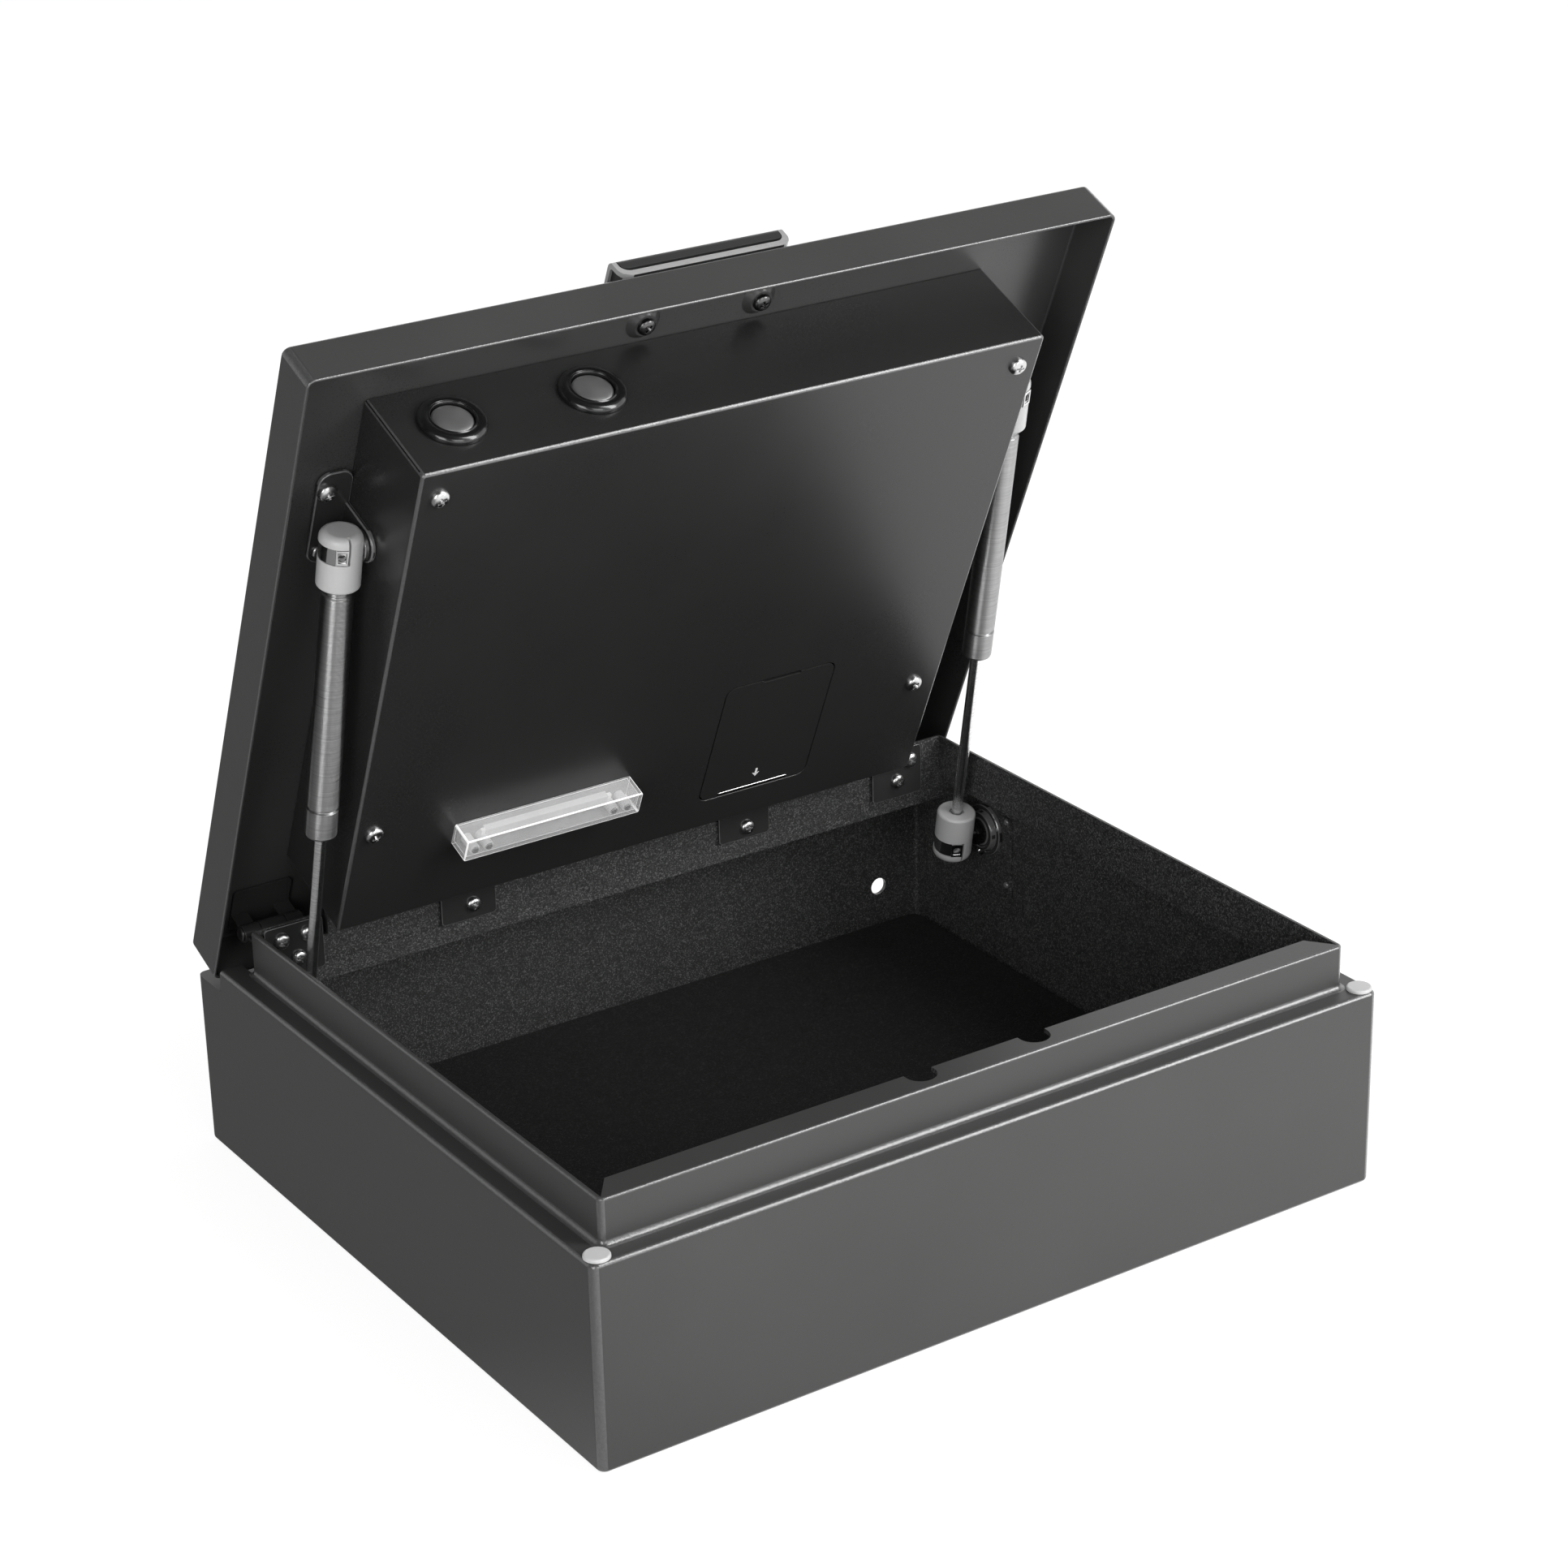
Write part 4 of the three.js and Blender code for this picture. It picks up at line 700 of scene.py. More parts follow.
def box_room():
    """What is cut from the box: its rooms, the mouth, the channel, the windows and the hole."""
    x0, x1, y0, y1 = shell.inset(SHEET)
    channel_under = CHANNEL - SHEET
    room_back = collar.y1 + CHANNEL_WALL
    inner = (collar.x0 + SHEET, collar.x1 - SHEET, collar.y0 + SHEET, collar.y1 - SHEET)
    flange_back = collar.y0 + FLANGE
    tools = [
        round_block("room", (x0, x1, y0, y1), shell.z0 + SHEET, channel_under, CORNER - SHEET,
                    low=FLOOR_BEND, steps=4),
        slab(x0, x1, y0, collar.y1 - SHEET, channel_under - SHEET, LEDGE - SHEET),
        slab(inner[0], inner[1], flange_back, inner[3], LEDGE - SHEET * 2, collar.z1 + REACH),
        slab(inner[0], inner[1], inner[2], flange_back + SHEET, LEDGE - SHEET * 2,
             collar.z1 - SHEET),
        slab(collar.x0, collar.x1, collar.y1, shell.y1 + REACH, CHANNEL, LEDGE + REACH),
        slab(shell.x0 - REACH, shell.x1 + REACH, shell.y1 - STEP, shell.y1 + REACH, CHANNEL,
             LEDGE + REACH),
        rod(CABLE_HOLE[2], (shell.x1 - CABLE_HOLE[0], shell.y1, CABLE_HOLE[1]), (0, 1, 0),
            -SHEET - REACH, REACH),
    ]
    for side in (-1, 1):
        outer, near = side * x1, side * (collar.x1 + CHANNEL_WALL + SHEET)
        tools.append(slab(*sorted((outer, near)), room_back - SHEET, shell.y1 - STEP - SHEET,
                          channel_under - SHEET, LEDGE - SHEET))
        wall = side * inner[1]
        tools.append(pulled("mitre", [(wall, inner[2]), (wall, flange_back + SHEET),
                                      (wall - side * FLANGE_SLOPE, flange_back + SHEET),
                                      (wall - side * FLANGE_SLOPE, flange_back)],
                            "z", LEDGE, collar.z1 + REACH))
    for x in PANEL_SCREWS:
        y = flange_back - NOTCH_DEPTH + NOTCH_RADIUS
        outline = arc(x, y, NOTCH_RADIUS, 180, 360, 24)
        outline += [(x + NOTCH_RADIUS, flange_back + SHEET), (x - NOTCH_RADIUS, flange_back + SHEET)]
        tools.append(pulled("notch", outline, "z", collar.z1 - REACH, collar.z1 + REACH))
    for leaf, side in zip(HINGE_LEAVES, NOTCH_SIDES):
        tools.append(slab(leaf.x0 - LEAF_GAP, leaf.x1 + LEAF_GAP, inner[3] - SHEET,
                          collar.y1 + SHEET, HINGE_Z - WEB - LEAF_GAP, HINGE_Z + WEB + LEAF_GAP))
        edge = leaf.x1 if side > 0 else leaf.x0 - BAND_NOTCH[0]
        tools.append(slab(edge, edge + BAND_NOTCH[0], inner[3] - SHEET, collar.y1 + SHEET,
                          collar.z1 - BAND_NOTCH[1], collar.z1 + REACH))
    return tools


def in_rooms(p):
    """Whether a place on the box is inside its rooms."""
    if p.z > collar.z1 - COLLAR_EDGE / 2:
        return False
    if p.z > LEDGE - SHEET + NEAR:
        return abs(p.x) < collar.x1 - SHEET + NEAR and collar.y0 + SHEET - NEAR < p.y < (
            collar.y1 - SHEET + NEAR)
    x0, x1, y0, y1 = shell.inset(SHEET - NEAR)
    if not (x0 < p.x < x1 and y0 < p.y < y1 and p.z > SHEET - NEAR):
        return False
    behind = p.y > collar.y1 + CHANNEL_WALL + NEAR / 2
    pocket = p.y < shell.y1 - STEP - SHEET + NEAR and (
        abs(p.x) > collar.x1 + CHANNEL_WALL + SHEET - NEAR)
    return not behind or p.z < CHANNEL - SHEET + NEAR or pocket


def box_finish(p, aim):
    """1 in the rooms, 2 on the bends outside, which take the painted highlight."""
    return 1 if in_rooms(p) else 2 * bent(aim)


def side_strip(side):
    """The thin strip on a side wall, in front of the strut's mount."""
    inside = shell.x1 - SHEET
    strip = slab(*sorted((side * (inside + NEAR), side * (inside - SIDE_STRIP_SHEET))),
                 SIDE_STRIP_BACK - SIDE_STRIP_WIDTH, SIDE_STRIP_BACK,
                 SIDE_STRIP_TOP - SIDE_STRIP_LENGTH, SIDE_STRIP_TOP)
    return softened(strip, 0.4)


def make_box():
    box = softened(cut(outer_skin(), *box_room()), EDGE)
    box = gathered(box, side_strip(-1), side_strip(1))
    painted(box, OUTER_COAT, INNER_COAT, BEND_HIGHLIGHT_COAT, where=box_finish)
    fitted(box, "box_body", BASE, "base", "box_coat", "base_shell", "collar_frame")


MAT_CORNER = 6.0
MAT_EDGE = 0.9
BUMPER_EDGE = 0.9


def make_mat():
    span = Span("floor_mat", BASE)
    mat = round_block("mat", span.inset(0.0), span.z0, span.z1, MAT_CORNER, high=MAT_EDGE)
    fitted(painted(mat, FELT), "mat", BASE, "base", "felt", "floor_mat")


def make_bumpers():
    for name in ("left", "right"):
        span = Span(f"bumper_{name}", BASE)
        radius = (span.x1 - span.x0) / 2
        height = span.z1 - span.z0
        dome = [(0, 0), (radius - 0.2, 0), (radius, 0.2)]
        dome += [(radius - BUMPER_EDGE * over, height - BUMPER_EDGE * (1 - up))
                 for over, up in quarter(6)]
        dome += [(radius * 0.4, height), (0, height)]
        piece = turned("bumper", dome, 56, Matrix.Translation((span.x, span.y, span.z0)))
        fitted(painted(piece, BUMPER), f"bumper_pad_{name}", BASE, "base", "clear_bumper",
               f"bumper_{name}")


# Hinges
LEAF_SHEET = 1.5
KNUCKLE = 4.2
KNUCKLE_SHARE = 0.42
LEAF_CORNER = 2.0
LEAF_ABOVE = 5.2
TALL_LEAF_ABOVE = 10.2
LEAF_GAP = 0.4
WEB = 0.75
PLAY = 0.5
BURIED = 0.5
PIN = 2.0
PIN_BORE = 2.3
PIN_HEAD = 1.2


def knuckle(low, high):
    """A rolled knuckle round the hinge line, between two places along it."""
    profile = [(PIN_BORE, low), (KNUCKLE, low), (KNUCKLE, high), (PIN_BORE, high)]
    line = facing((0, HINGE_Y, HINGE_Z), (1, 0, 0))
    return softened(turned("knuckle", profile, 40, line), 0.3)


def make_hinge(n, leaf):
    """One hinge: the leaf on the band, the leaf under the lid's panel and the pin."""
    front_face, back_face = leaf.y0, leaf.y0 + LEAF_SHEET
    plate_top = HINGE_Z + (TALL_LEAF_ABOVE if n in (1, 4) else LEAF_ABOVE)
    outline = round_rect(leaf.x0, leaf.x1, leaf.z0, plate_top, LEAF_CORNER)
    plate = pulled("leaf", outline, "y", front_face, back_face)
    half = (leaf.x1 - leaf.x0) * KNUCKLE_SHARE / 2
    flat = (HINGE_Z - WEB, HINGE_Z + WEB)
    root = front_face + BURIED
    web = slab(leaf.x0, leaf.x1, root, HINGE_Y - KNUCKLE - 0.8, *flat)
    tongue = slab(leaf.x - half, leaf.x + half, root, HINGE_Y - PIN - PLAY, *flat)
    piece = gathered(softened(plate, 0.3), softened(web, 0.2), softened(tongue, 0.2),
                     knuckle(leaf.x - half, leaf.x + half))
    # The plate's rim takes the painted highlight
    painted(piece, LEAF_COAT, LEAF_EDGE_HIGHLIGHT, where=lambda p, aim: bent(aim) and p.y < back_face)
    fitted(piece, f"band_leaf_{n}", BASE, "base", "black_coat", f"hinge_base_leaf_{n}")

    lid_leaf = Span(f"hinge_lid_leaf_{n}", LID)
    foot = pulled("foot", round_rect(*lid_leaf.inset(0.0), LEAF_CORNER), "z",
                  lid_leaf.z1 - LEAF_SHEET, lid_leaf.z1)
    parts = [softened(foot, 0.3)]
    for side in (-1, 1):
        low, high = sorted((leaf.x + side * (half + LEAF_GAP),
                            leaf.x + side * (leaf.x1 - leaf.x0) / 2))
        arm = slab(low, high, HINGE_Y - WEB, HINGE_Y + WEB, HINGE_Z + PIN + PLAY,
                   lid_leaf.z1 - BURIED)
        parts += [softened(arm, 0.2), knuckle(low, high)]
    fitted(painted(gathered(*parts), LEAF_COAT), f"lid_leaf_{n}", LID, "lid", "black_coat",
           f"hinge_lid_leaf_{n}")

    span = Span(f"hinge_pin_{n}", BASE)
    reach = (span.x1 - span.x0) / 2
    head = [(0, reach), (2.4, reach), (3.0, reach - 0.5), (3.0, reach - PIN_HEAD),
            (PIN, reach - PIN_HEAD)]
    pin = turned("pin", [(r, -z) for r, z in head] + head[::-1], 32,
                 facing((span.x, HINGE_Y, HINGE_Z), (1, 0, 0)))
    fitted(painted(pin, ZINC), f"pin_{n}", BASE, "base", "zinc", f"hinge_pin_{n}")


# The lid
LID_SHEET = 1.5
LID_LIFT = 2.0
LID_RIM = 0.72
LID_FOLD = 1.0
tray = Span("lid_shell", LID)
LID_BOTTOM = LEDGE + LID_LIFT
LID_UNDER = tray.z1 - LID_SHEET
# A screw boss: its top's and foot's radius, its height
BOSS = (5.2, 7.5, 2.6)
panel_screw = Span("panel_screw_left", LID)
housing = Span("housing_cover", LID)


def make_tray():
    """The lid: a shallow tray upside down, in one skin from its outer face to its inner one."""
    box, inner = tray.inset(0.0), tray.inset(LID_SHEET)
    rings = high_bend(box, CORNER, tray.z1, BEND, 6)[::-1]
    rings += low_bend(box, CORNER, LID_BOTTOM, LID_RIM, 5)[::-1]
    rings += [level_ring(grown(inner, LID_RIM * over), CORNER - LID_SHEET + LID_RIM * over,
                         LID_BOTTOM + LID_RIM * (1 - up))
              for over, up in reversed(list(quarter(5)))]
    rings += high_bend(inner, CORNER - LID_SHEET, LID_UNDER, LID_FOLD, 4)
    piece = loft("tray", [ring[::-1] for ring in rings])
    bosses = []
    top, foot, height = BOSS
    profile = [(0, 0), (foot + 0.8, 0), (foot + 0.25, 0.25), (foot, 0.6),
               (top + 0.4, height - 0.4), (top, height), (2.2, height), (0, height)]
    for x in PANEL_SCREWS:
        bosses.append(turned("boss", profile, 48, facing((x, panel_screw.y, LID_UNDER), DOWN)))
    piece = gathered(piece, *bosses)
    inner_edge = tray.inset(LID_SHEET - 0.4)

    # The tray's outer bends take the bend coat's painted highlight
    def finish(p, aim):
        under = p.z < tray.z1 - 0.4 and inner_edge[0] < p.x < inner_edge[1] and (
            inner_edge[2] < p.y < inner_edge[3]) and p.z > LID_BOTTOM + 0.6
        return 1 if under else 2 * bent(aim)

    painted(piece, OUTER_COAT, LID_COAT, BEND_HIGHLIGHT_COAT, where=finish)
    fitted(piece, "lid_tray", LID, "lid", "box_coat", "lid_shell")


# The housing under the lid, and what it carries
COVER_SHEET = 1.5
COVER_BEND = 1.6
COVER_CORNER = 2.0
# An open corner seam: its half width, its reach from the corner, its start over the plate
SEAM = (0.16, 1.6, 3.2)
RING_SLEEVE = 10.9
RING_FLANGE = 3.0
RING_FIT = 0.3
PLATE = housing.z0
door = Span("battery_door", LID)
light = Span("light_lens", LID)
DOOR_GAP = 0.5
WINDOW_RIM = 2.0
DOOR_TAB_REACH = 3.0
DOOR_CORNER = 5.0
DOOR_BOX = (door.x0, door.x1, door.y0 + DOOR_TAB_REACH, door.y1)
DOOR_STEP = 10.3
TAB_HALF = 5.0
TAB_FROM_SIDE = 15.0
FINGER = 19.0
LIP_RADIUS = 1.1
ARROW = ((0, -7.2), (-1.9, -9.6), (-0.55, -9.3), (-0.55, -12.2), (0.55, -12.2), (0.55, -9.3),
         (1.9, -9.6))


def make_housing():
    box, inner = housing.inset(0.0), housing.inset(COVER_SHEET)
    rings = low_bend(box, COVER_CORNER, PLATE, COVER_BEND, 6)
    rings.append(level_ring(box, COVER_CORNER, housing.z1))
    rings += [level_ring(inner, 0.5, z) for z in (housing.z1, PLATE + COVER_SHEET)]
    piece = loft("cover", rings)
    tools = [pulled("window", round_rect(*grown(DOOR_BOX, DOOR_GAP), DOOR_CORNER), "z",
                    PLATE - REACH, PLATE + REACH)]
    for name in ("left", "right"):
        ring = Span(f"bolt_ring_{name}", LID)
        tools.append(rod(RING_SLEEVE + RING_FIT, (ring.x, box[2], ring.z), (0, 1, 0),
                         -REACH, REACH))
    for x in (box[0], box[1]):
        for y in (box[2], box[3]):
            half, reach, above = SEAM
            seam = slab(-half, half, -reach, reach, PLATE + above, housing.z1 + REACH)
            way = math.atan2(y - housing.y, x - housing.x)
            diagonal = math.radians(round(math.degrees(way) / 90 - 0.5) * 90 + 45)
            seam.data.transform(Matrix.Translation((x, y, 0))
                                @ Matrix.Rotation(diagonal - math.pi / 2, 4, "Z"))
            tools.append(seam)
    piece = softened(cut(piece, *tools), 0.15, 1, 50)
    window = grown(DOOR_BOX, WINDOW_RIM)

    # The bends away from the door's window take the bend coat's painted highlight
    def bright(p, aim):
        return bent(aim) and not (window[0] < p.x < window[1] and window[2] < p.y < window[3])

    painted(piece, HOUSING_COAT, BEND_HIGHLIGHT_COAT, where=bright)
    fitted(piece, "housing", LID, "lid", "black_coat", "housing_cover")


def make_door():
    """The battery door: flush plate, tab step at its hinge edge, finger notch, and an arrow painted
    white as a painted highlight.
    """
    x0, x1, y0, y1 = DOOR_BOX
    middle = (x0 + x1) / 2
    through = (PLATE - REACH, PLATE + REACH)
    plate = pulled("door", round_rect(x0, x1, y0, y1, DOOR_CORNER, 10), "z", PLATE,
                   PLATE + COVER_SHEET)
    notch = pulled("finger", round_rect(middle - FINGER, middle + FINGER, y1 - 1.8, y1 + 3, 0.9),
                   "z", *through)
    step = slab(middle - DOOR_STEP, middle + DOOR_STEP, y0 - REACH, y0 + 1.1, *through)
    plate = softened(cut(plate, notch, step), 0.18)
    tabs = []
    for side in (-1, 1):
        centre = middle + side * ((x1 - x0) / 2 - TAB_FROM_SIDE)
        sides = (centre - TAB_HALF, centre + TAB_HALF)
        tabs.append(softened(slab(*sides, y0 - DOOR_TAB_REACH, y0 + 3, PLATE + 1.8,
                                  PLATE + 3.0), 0.2))
        tabs.append(slab(*sides, y0 + 1.2, y0 + 3, PLATE + 1.2, PLATE + 2.4))
    lip = rod(LIP_RADIUS, (middle, y1 - LIP_RADIUS, PLATE + 0.8), (1, 0, 0), 0.1 - FINGER,
              FINGER - 0.1, 32)
    # A raised arrow in white: a painted highlight
    arrow_highlight = pulled("arrow", [(middle + x, y1 + y) for x, y in ARROW], "z", PLATE - 0.12,
                  PLATE + 0.2)
    piece = gathered(painted(plate, HOUSING_COAT), *[painted(t, HOUSING_COAT) for t in tabs],
                     painted(lip, CHROME), painted(arrow_highlight, LED_WHITE))
    fitted(piece, "door_plate", LID, "door", "black_coat", "battery_door")


RING_LIP = 0.9
RING_DISH = 0.35
RING_RIM = (2.6, 2.4)
BOLT_PLAY = 0.4
BOLT_WAIST = (5.0, 43.0)
BOLT_FOOT = (7.0, 2.0)


def ring_profile(bore, outer, depth):
    """A lock ring: a small lip at its bore, a dished face, a round rim, the sleeve behind."""
    bulge = outer - bore - 1.0
    wide, tall = RING_RIM
    profile = [(bore, RING_LIP)]
    profile += [(bore + RING_LIP * over / 2, RING_LIP * (1 - up) / 2) for over, up in quarter(4)]
    profile += [(bore + 1.0, RING_DISH)]
    profile += [(bore + 1.0 + bulge * (1 - math.cos(math.pi * k / 16)) / 2,
                 RING_DISH * (1 - math.sin(math.pi * k / 16))) for k in range(1, 8)]
    profile += [(outer - wide * (1 - math.sin(math.radians(a))),
                 tall * (1 - math.cos(math.radians(a)))) for a in (20, 40, 60, 75, 90)]
    return profile + [(outer, RING_FLANGE), (RING_SLEEVE, RING_FLANGE), (RING_SLEEVE, depth),
                      (bore, depth)]


def bolt_profile(radius, length):
    """A bolt: a slightly domed face with a rounded rim, the shaft, its waist and its foot."""
    waist, waist_from = BOLT_WAIST
    foot, foot_length = BOLT_FOOT
    crown = [(radius * share, 0.5 * share ** 2) for share in (0.0, 0.25, 0.5, 0.7, 0.86)]
    return crown + [(radius - 0.45, 0.62), (radius - 0.12, 0.95), (radius, 1.4),
                    (radius, waist_from), (waist, waist_from), (waist, length - foot_length),
                    (foot, length - foot_length), (foot, length), (0, length)]


def make_lock_faces():
    """The two glossy rings in the housing's front wall, and the bolts in them."""
    for name in ("left", "right"):
        ring, bolt = Span(f"bolt_ring_{name}", LID), Span(f"lock_bolt_{name}", LID)
        radius = bolt.x1 - bolt.x
        profile = ring_profile(radius + BOLT_PLAY, ring.x1 - ring.x, ring.y1 - ring.y0)
        piece = turned("ring", profile, 64, facing((ring.x, ring.y0, ring.z), (0, 1, 0)))
        fitted(painted(piece, GLOSS_BLACK), f"lock_ring_{name}", LID, "lid", "gloss_black",
               f"bolt_ring_{name}", smooth=50)
        piece = turned("bolt", bolt_profile(radius, bolt.y1 - bolt.y0), 64,
                       facing((bolt.x, bolt.y0, bolt.z), (0, 1, 0)))
        fitted(painted(piece, BOLT_STEEL), f"bolt_{name}", LID, "bolts", "zinc",
               f"lock_bolt_{name}")


LIGHT_WALL = 1.2
LIGHT_CORNER = 1.0
LIGHT_BASE = 1.4
LIGHT_LAMPS = 6
BOARD_SHEET = 1.6
# The white strip on the board: its distance from the ends, its half width and how far it
# reaches from the board's back
WHITE_STRIP = (12.0, 2.6, 5.0)
LAMP_HALF = 2.5
LAMP_SEAT = 4.6
LAMP_DOT = [(0, -0.25), (1.5, -0.2), (1.8, 0), (1.8, 0.3), (0, 0.3)]
LIGHT_SCREWS = (light.x0 + 6.0, light.x0 + 13.0, light.x1 - 13.0, light.x1 - 6.0)
POST_TOP = light.z0 + 1.8
POST_Y = light.y1 - 3.9


def make_light():
    """The light bar: a milky cover, and in it the board with its lamps on a white strip."""
    body = round_block("lens", light.inset(0.0), light.z0, light.z1, LIGHT_CORNER, low=0.55,
                       steps=3)
    room = round_block("room", light.inset(LIGHT_WALL), light.z0 + LIGHT_WALL, light.z1 + REACH,
                       0.6, low=0.5, steps=3)
    piece = softened(cut(body, room), 0.15)
    # The lens's bends take the brighter painted light
    painted(piece, LENS, LENS_EDGE_GLOW, where=on_bends)
    fitted(piece, "lens", LID, "lid", "frosted", "light_lens")

    board = Span("light_board", LID)
    base = board.z1 - LIGHT_BASE
    strip = softened(slab(board.x0, board.x1, board.y0, board.y1, board.z1 - BOARD_SHEET,
                          board.z1), 0.2)
    from_end, half, height = WHITE_STRIP
    raised = softened(slab(board.x0 + from_end, board.x1 - from_end, board.y - half,
                           board.y + half, board.z1 - height, base), 0.3)
    parts = [painted(strip, STRIP_GREY), painted(raised, STRIP_WHITE)]
    for x in LIGHT_SCREWS:
        profile = [(0, POST_TOP), (2.2, POST_TOP), (2.5, POST_TOP + 0.3), (2.5, base), (0, base)]
        post = turned("post", profile, 28, Matrix.Translation((x, POST_Y, 0)))
        parts.append(painted(post, STRIP_WHITE))
    for i in range(1, LIGHT_LAMPS + 1):
        x = board.x0 + (board.x1 - board.x0) * i / (LIGHT_LAMPS + 1)
        lamp = softened(slab(x - LAMP_HALF, x + LAMP_HALF, board.y - LAMP_HALF,
                             board.y + LAMP_HALF, board.z0, board.z1 - LAMP_SEAT), 0.3)
        dot = turned("dot", LAMP_DOT, 20, Matrix.Translation((x, board.y, board.z0)))
        parts += [painted(lamp, LED_WHITE), painted(dot, GREY_PLASTIC)]
    piece = gathered(*parts)
    fitted(piece, "lamp_strip", LID, "lid", "board", "light_board")


# The control panel
bezel = Span("panel_bezel", LID)
insert = Span("panel_insert", LID)
PANEL_RIM = 2.2
PANEL_GAP = 0.45
PANEL_HOLLOW = 1.4
PANEL_BAND = 4.0
PANEL_TOP_RADIUS = 3.6
PANEL_CORNER = 6.5
# The slope at the panel's back: how deep, how far down
PANEL_REAR = (16.0, 6.0)
PANEL_LIP = 1.4
PANEL_FRONT_WALL = 2.6
PANEL_WALL = 2.0
# The band's lower edge stands out: how far, and how much of the band it takes
BAND_STEP = 0.35
BAND_STEP_SHARE = 0.55
INSERT_CORNER = 2.8
# How far the outlines that shape the panel run past its top
FRONT_OVER = 12.0
POCKET_OVER = 20.0


def panel_side(y0, y1, low, high, top_radius):
    """The panel's side outline: upright front with a rounded top, flat, then a slope back."""
    slope, drop = PANEL_REAR
    rounded = arc(y0 + top_radius, high - top_radius, top_radius, 90, 180, 8)
    return [(y0, low), (y1, low), (y1, high - drop), (y1 - slope, high)] + rounded


def make_panel():
    body = pulled("bezel", panel_side(bezel.y0, bezel.y1, bezel.z0, bezel.z1, PANEL_TOP_RADIUS),
                  "x", bezel.x0, bezel.x1)
    front_shape = round_rect(bezel.x0, bezel.x1, bezel.z0, bezel.z1 + FRONT_OVER, PANEL_CORNER,
                             10)
    shared(body, pulled("front", front_shape, "y", bezel.y0 - REACH, bezel.y1 + REACH))
    pocket = round_rect(bezel.x0 + PANEL_RIM, bezel.x1 - PANEL_RIM, tray.z1 + PANEL_BAND,
                        bezel.z1 + POCKET_OVER, PANEL_CORNER - PANEL_RIM, 8)
    cut(body, pulled("pocket", pocket, "y", bezel.y0 - REACH, bezel.y1 - PANEL_RIM))
    ends = (bezel.x0 - REACH, bezel.x1 + REACH)
    cut(body, slab(*ends, bezel.y0 - REACH, bezel.y0 + PANEL_LIP, bezel.z0 - REACH,
                   tray.z1 + PANEL_GAP))
    cut(body, slab(*ends, bezel.y0 - REACH, bezel.y0 + BAND_STEP,
                   tray.z1 + PANEL_BAND * BAND_STEP_SHARE, bezel.z1 + REACH))
    hollow = panel_side(bezel.y0 + PANEL_FRONT_WALL, bezel.y1 - PANEL_WALL, tray.z1 - REACH,
                        bezel.z1 - PANEL_WALL, PANEL_WALL)
    for end, side in ((bezel.x0, -1), (bezel.x1, 1)):
        cut(body, pulled("hollow", hollow, "x",
                         *sorted((end + side * REACH, end - side * PANEL_HOLLOW))))
    piece = softened(body, 0.35, 3)

    # Faces in the gap under the front and inside the end recesses take black: painted shade
    def painted_shade_faces(p, aim):
        if p.z < tray.z1 + PANEL_GAP + 0.05 and p.y < bezel.y0 + 1.8:
            return True
        return abs(aim.x) > 0.9 and bezel.x0 + 0.8 < p.x < bezel.x1 - 0.8 and (
            p.x < bezel.x0 + 1.8 or p.x > bezel.x1 - 1.8)

    painted(piece, SILVER_PAINT, BLACK_PLASTIC, where=painted_shade_faces)
    fitted(piece, "panel_frame", LID, "lid", "satin_silver", "panel_bezel")

    body = pulled("insert", panel_side(insert.y0, bezel.y1, insert.z0, bezel.z1,
                                       PANEL_TOP_RADIUS), "x", insert.x0, insert.x1)
    front_shape = round_rect(insert.x0, insert.x1, insert.z0, bezel.z1 + POCKET_OVER,
                             INSERT_CORNER, 8)
    shared(body, pulled("front", front_shape, "y", bezel.y0 - REACH, insert.y1))
    cut(body, slab(insert.x0 - REACH, insert.x1 + REACH, bezel.y0 - REACH, bezel.y1 + REACH,
                   insert.z1, bezel.z1 + REACH))
    piece = softened(body, 0.5, 3)
    fitted(painted(piece, BLACK_PLASTIC), "panel_face", LID, "lid", "black_plastic",
           "panel_insert")


# The struts
# A socket's radius, its end beyond the ball, its length and the flat at the ball's entry
SOCKET = (9.4, 9.1, 26.0, 7.6)
SOCKET_HOLE = 1.6
SOCKET_DOME = 3.4
SOCKET_RIM = 1.4
SOCKET_FAR = 20
BALL = 5.0
BALL_ROOM = 0.4
CLIP_RADIUS = 9.1
CLIP_SHEET = 0.9
CLIP_HEIGHT = 7.0
CLIP_SPREAD = 84.0
CLIP_SHIFT = -0.7
GROOVE_ROOM = 0.5
SLIT = 0.55
SLIT_FROM = 6.6
TAB_TURN = 66.0
TAB_BORE = 1.9
CLIP_BORE = 1.7
# A clip's tab: its half width, its window's half width, the frame over and under the window
CLIP_TAB = (2.7, 1.75, 1.1)
STUD_NECK = 2.8
TUBE_NECK = (6.1, 3.0)
TUBE_WALL = 1.2
# The tube's low end: its bore and depth, then its groove's place and depth
GLAND = (3.0, 8.0, 15.0, 0.9)
ROD_RADIUS = 2.6
PISTON = 6.0


def ball_profile(radius, steps=12):
    points = [(radius * math.cos(math.radians(a)), radius * math.sin(math.radians(a)))
              for a in range(-90, 91, 180 // steps)]
    points[0], points[-1] = (0, -radius), (0, radius)
    return points


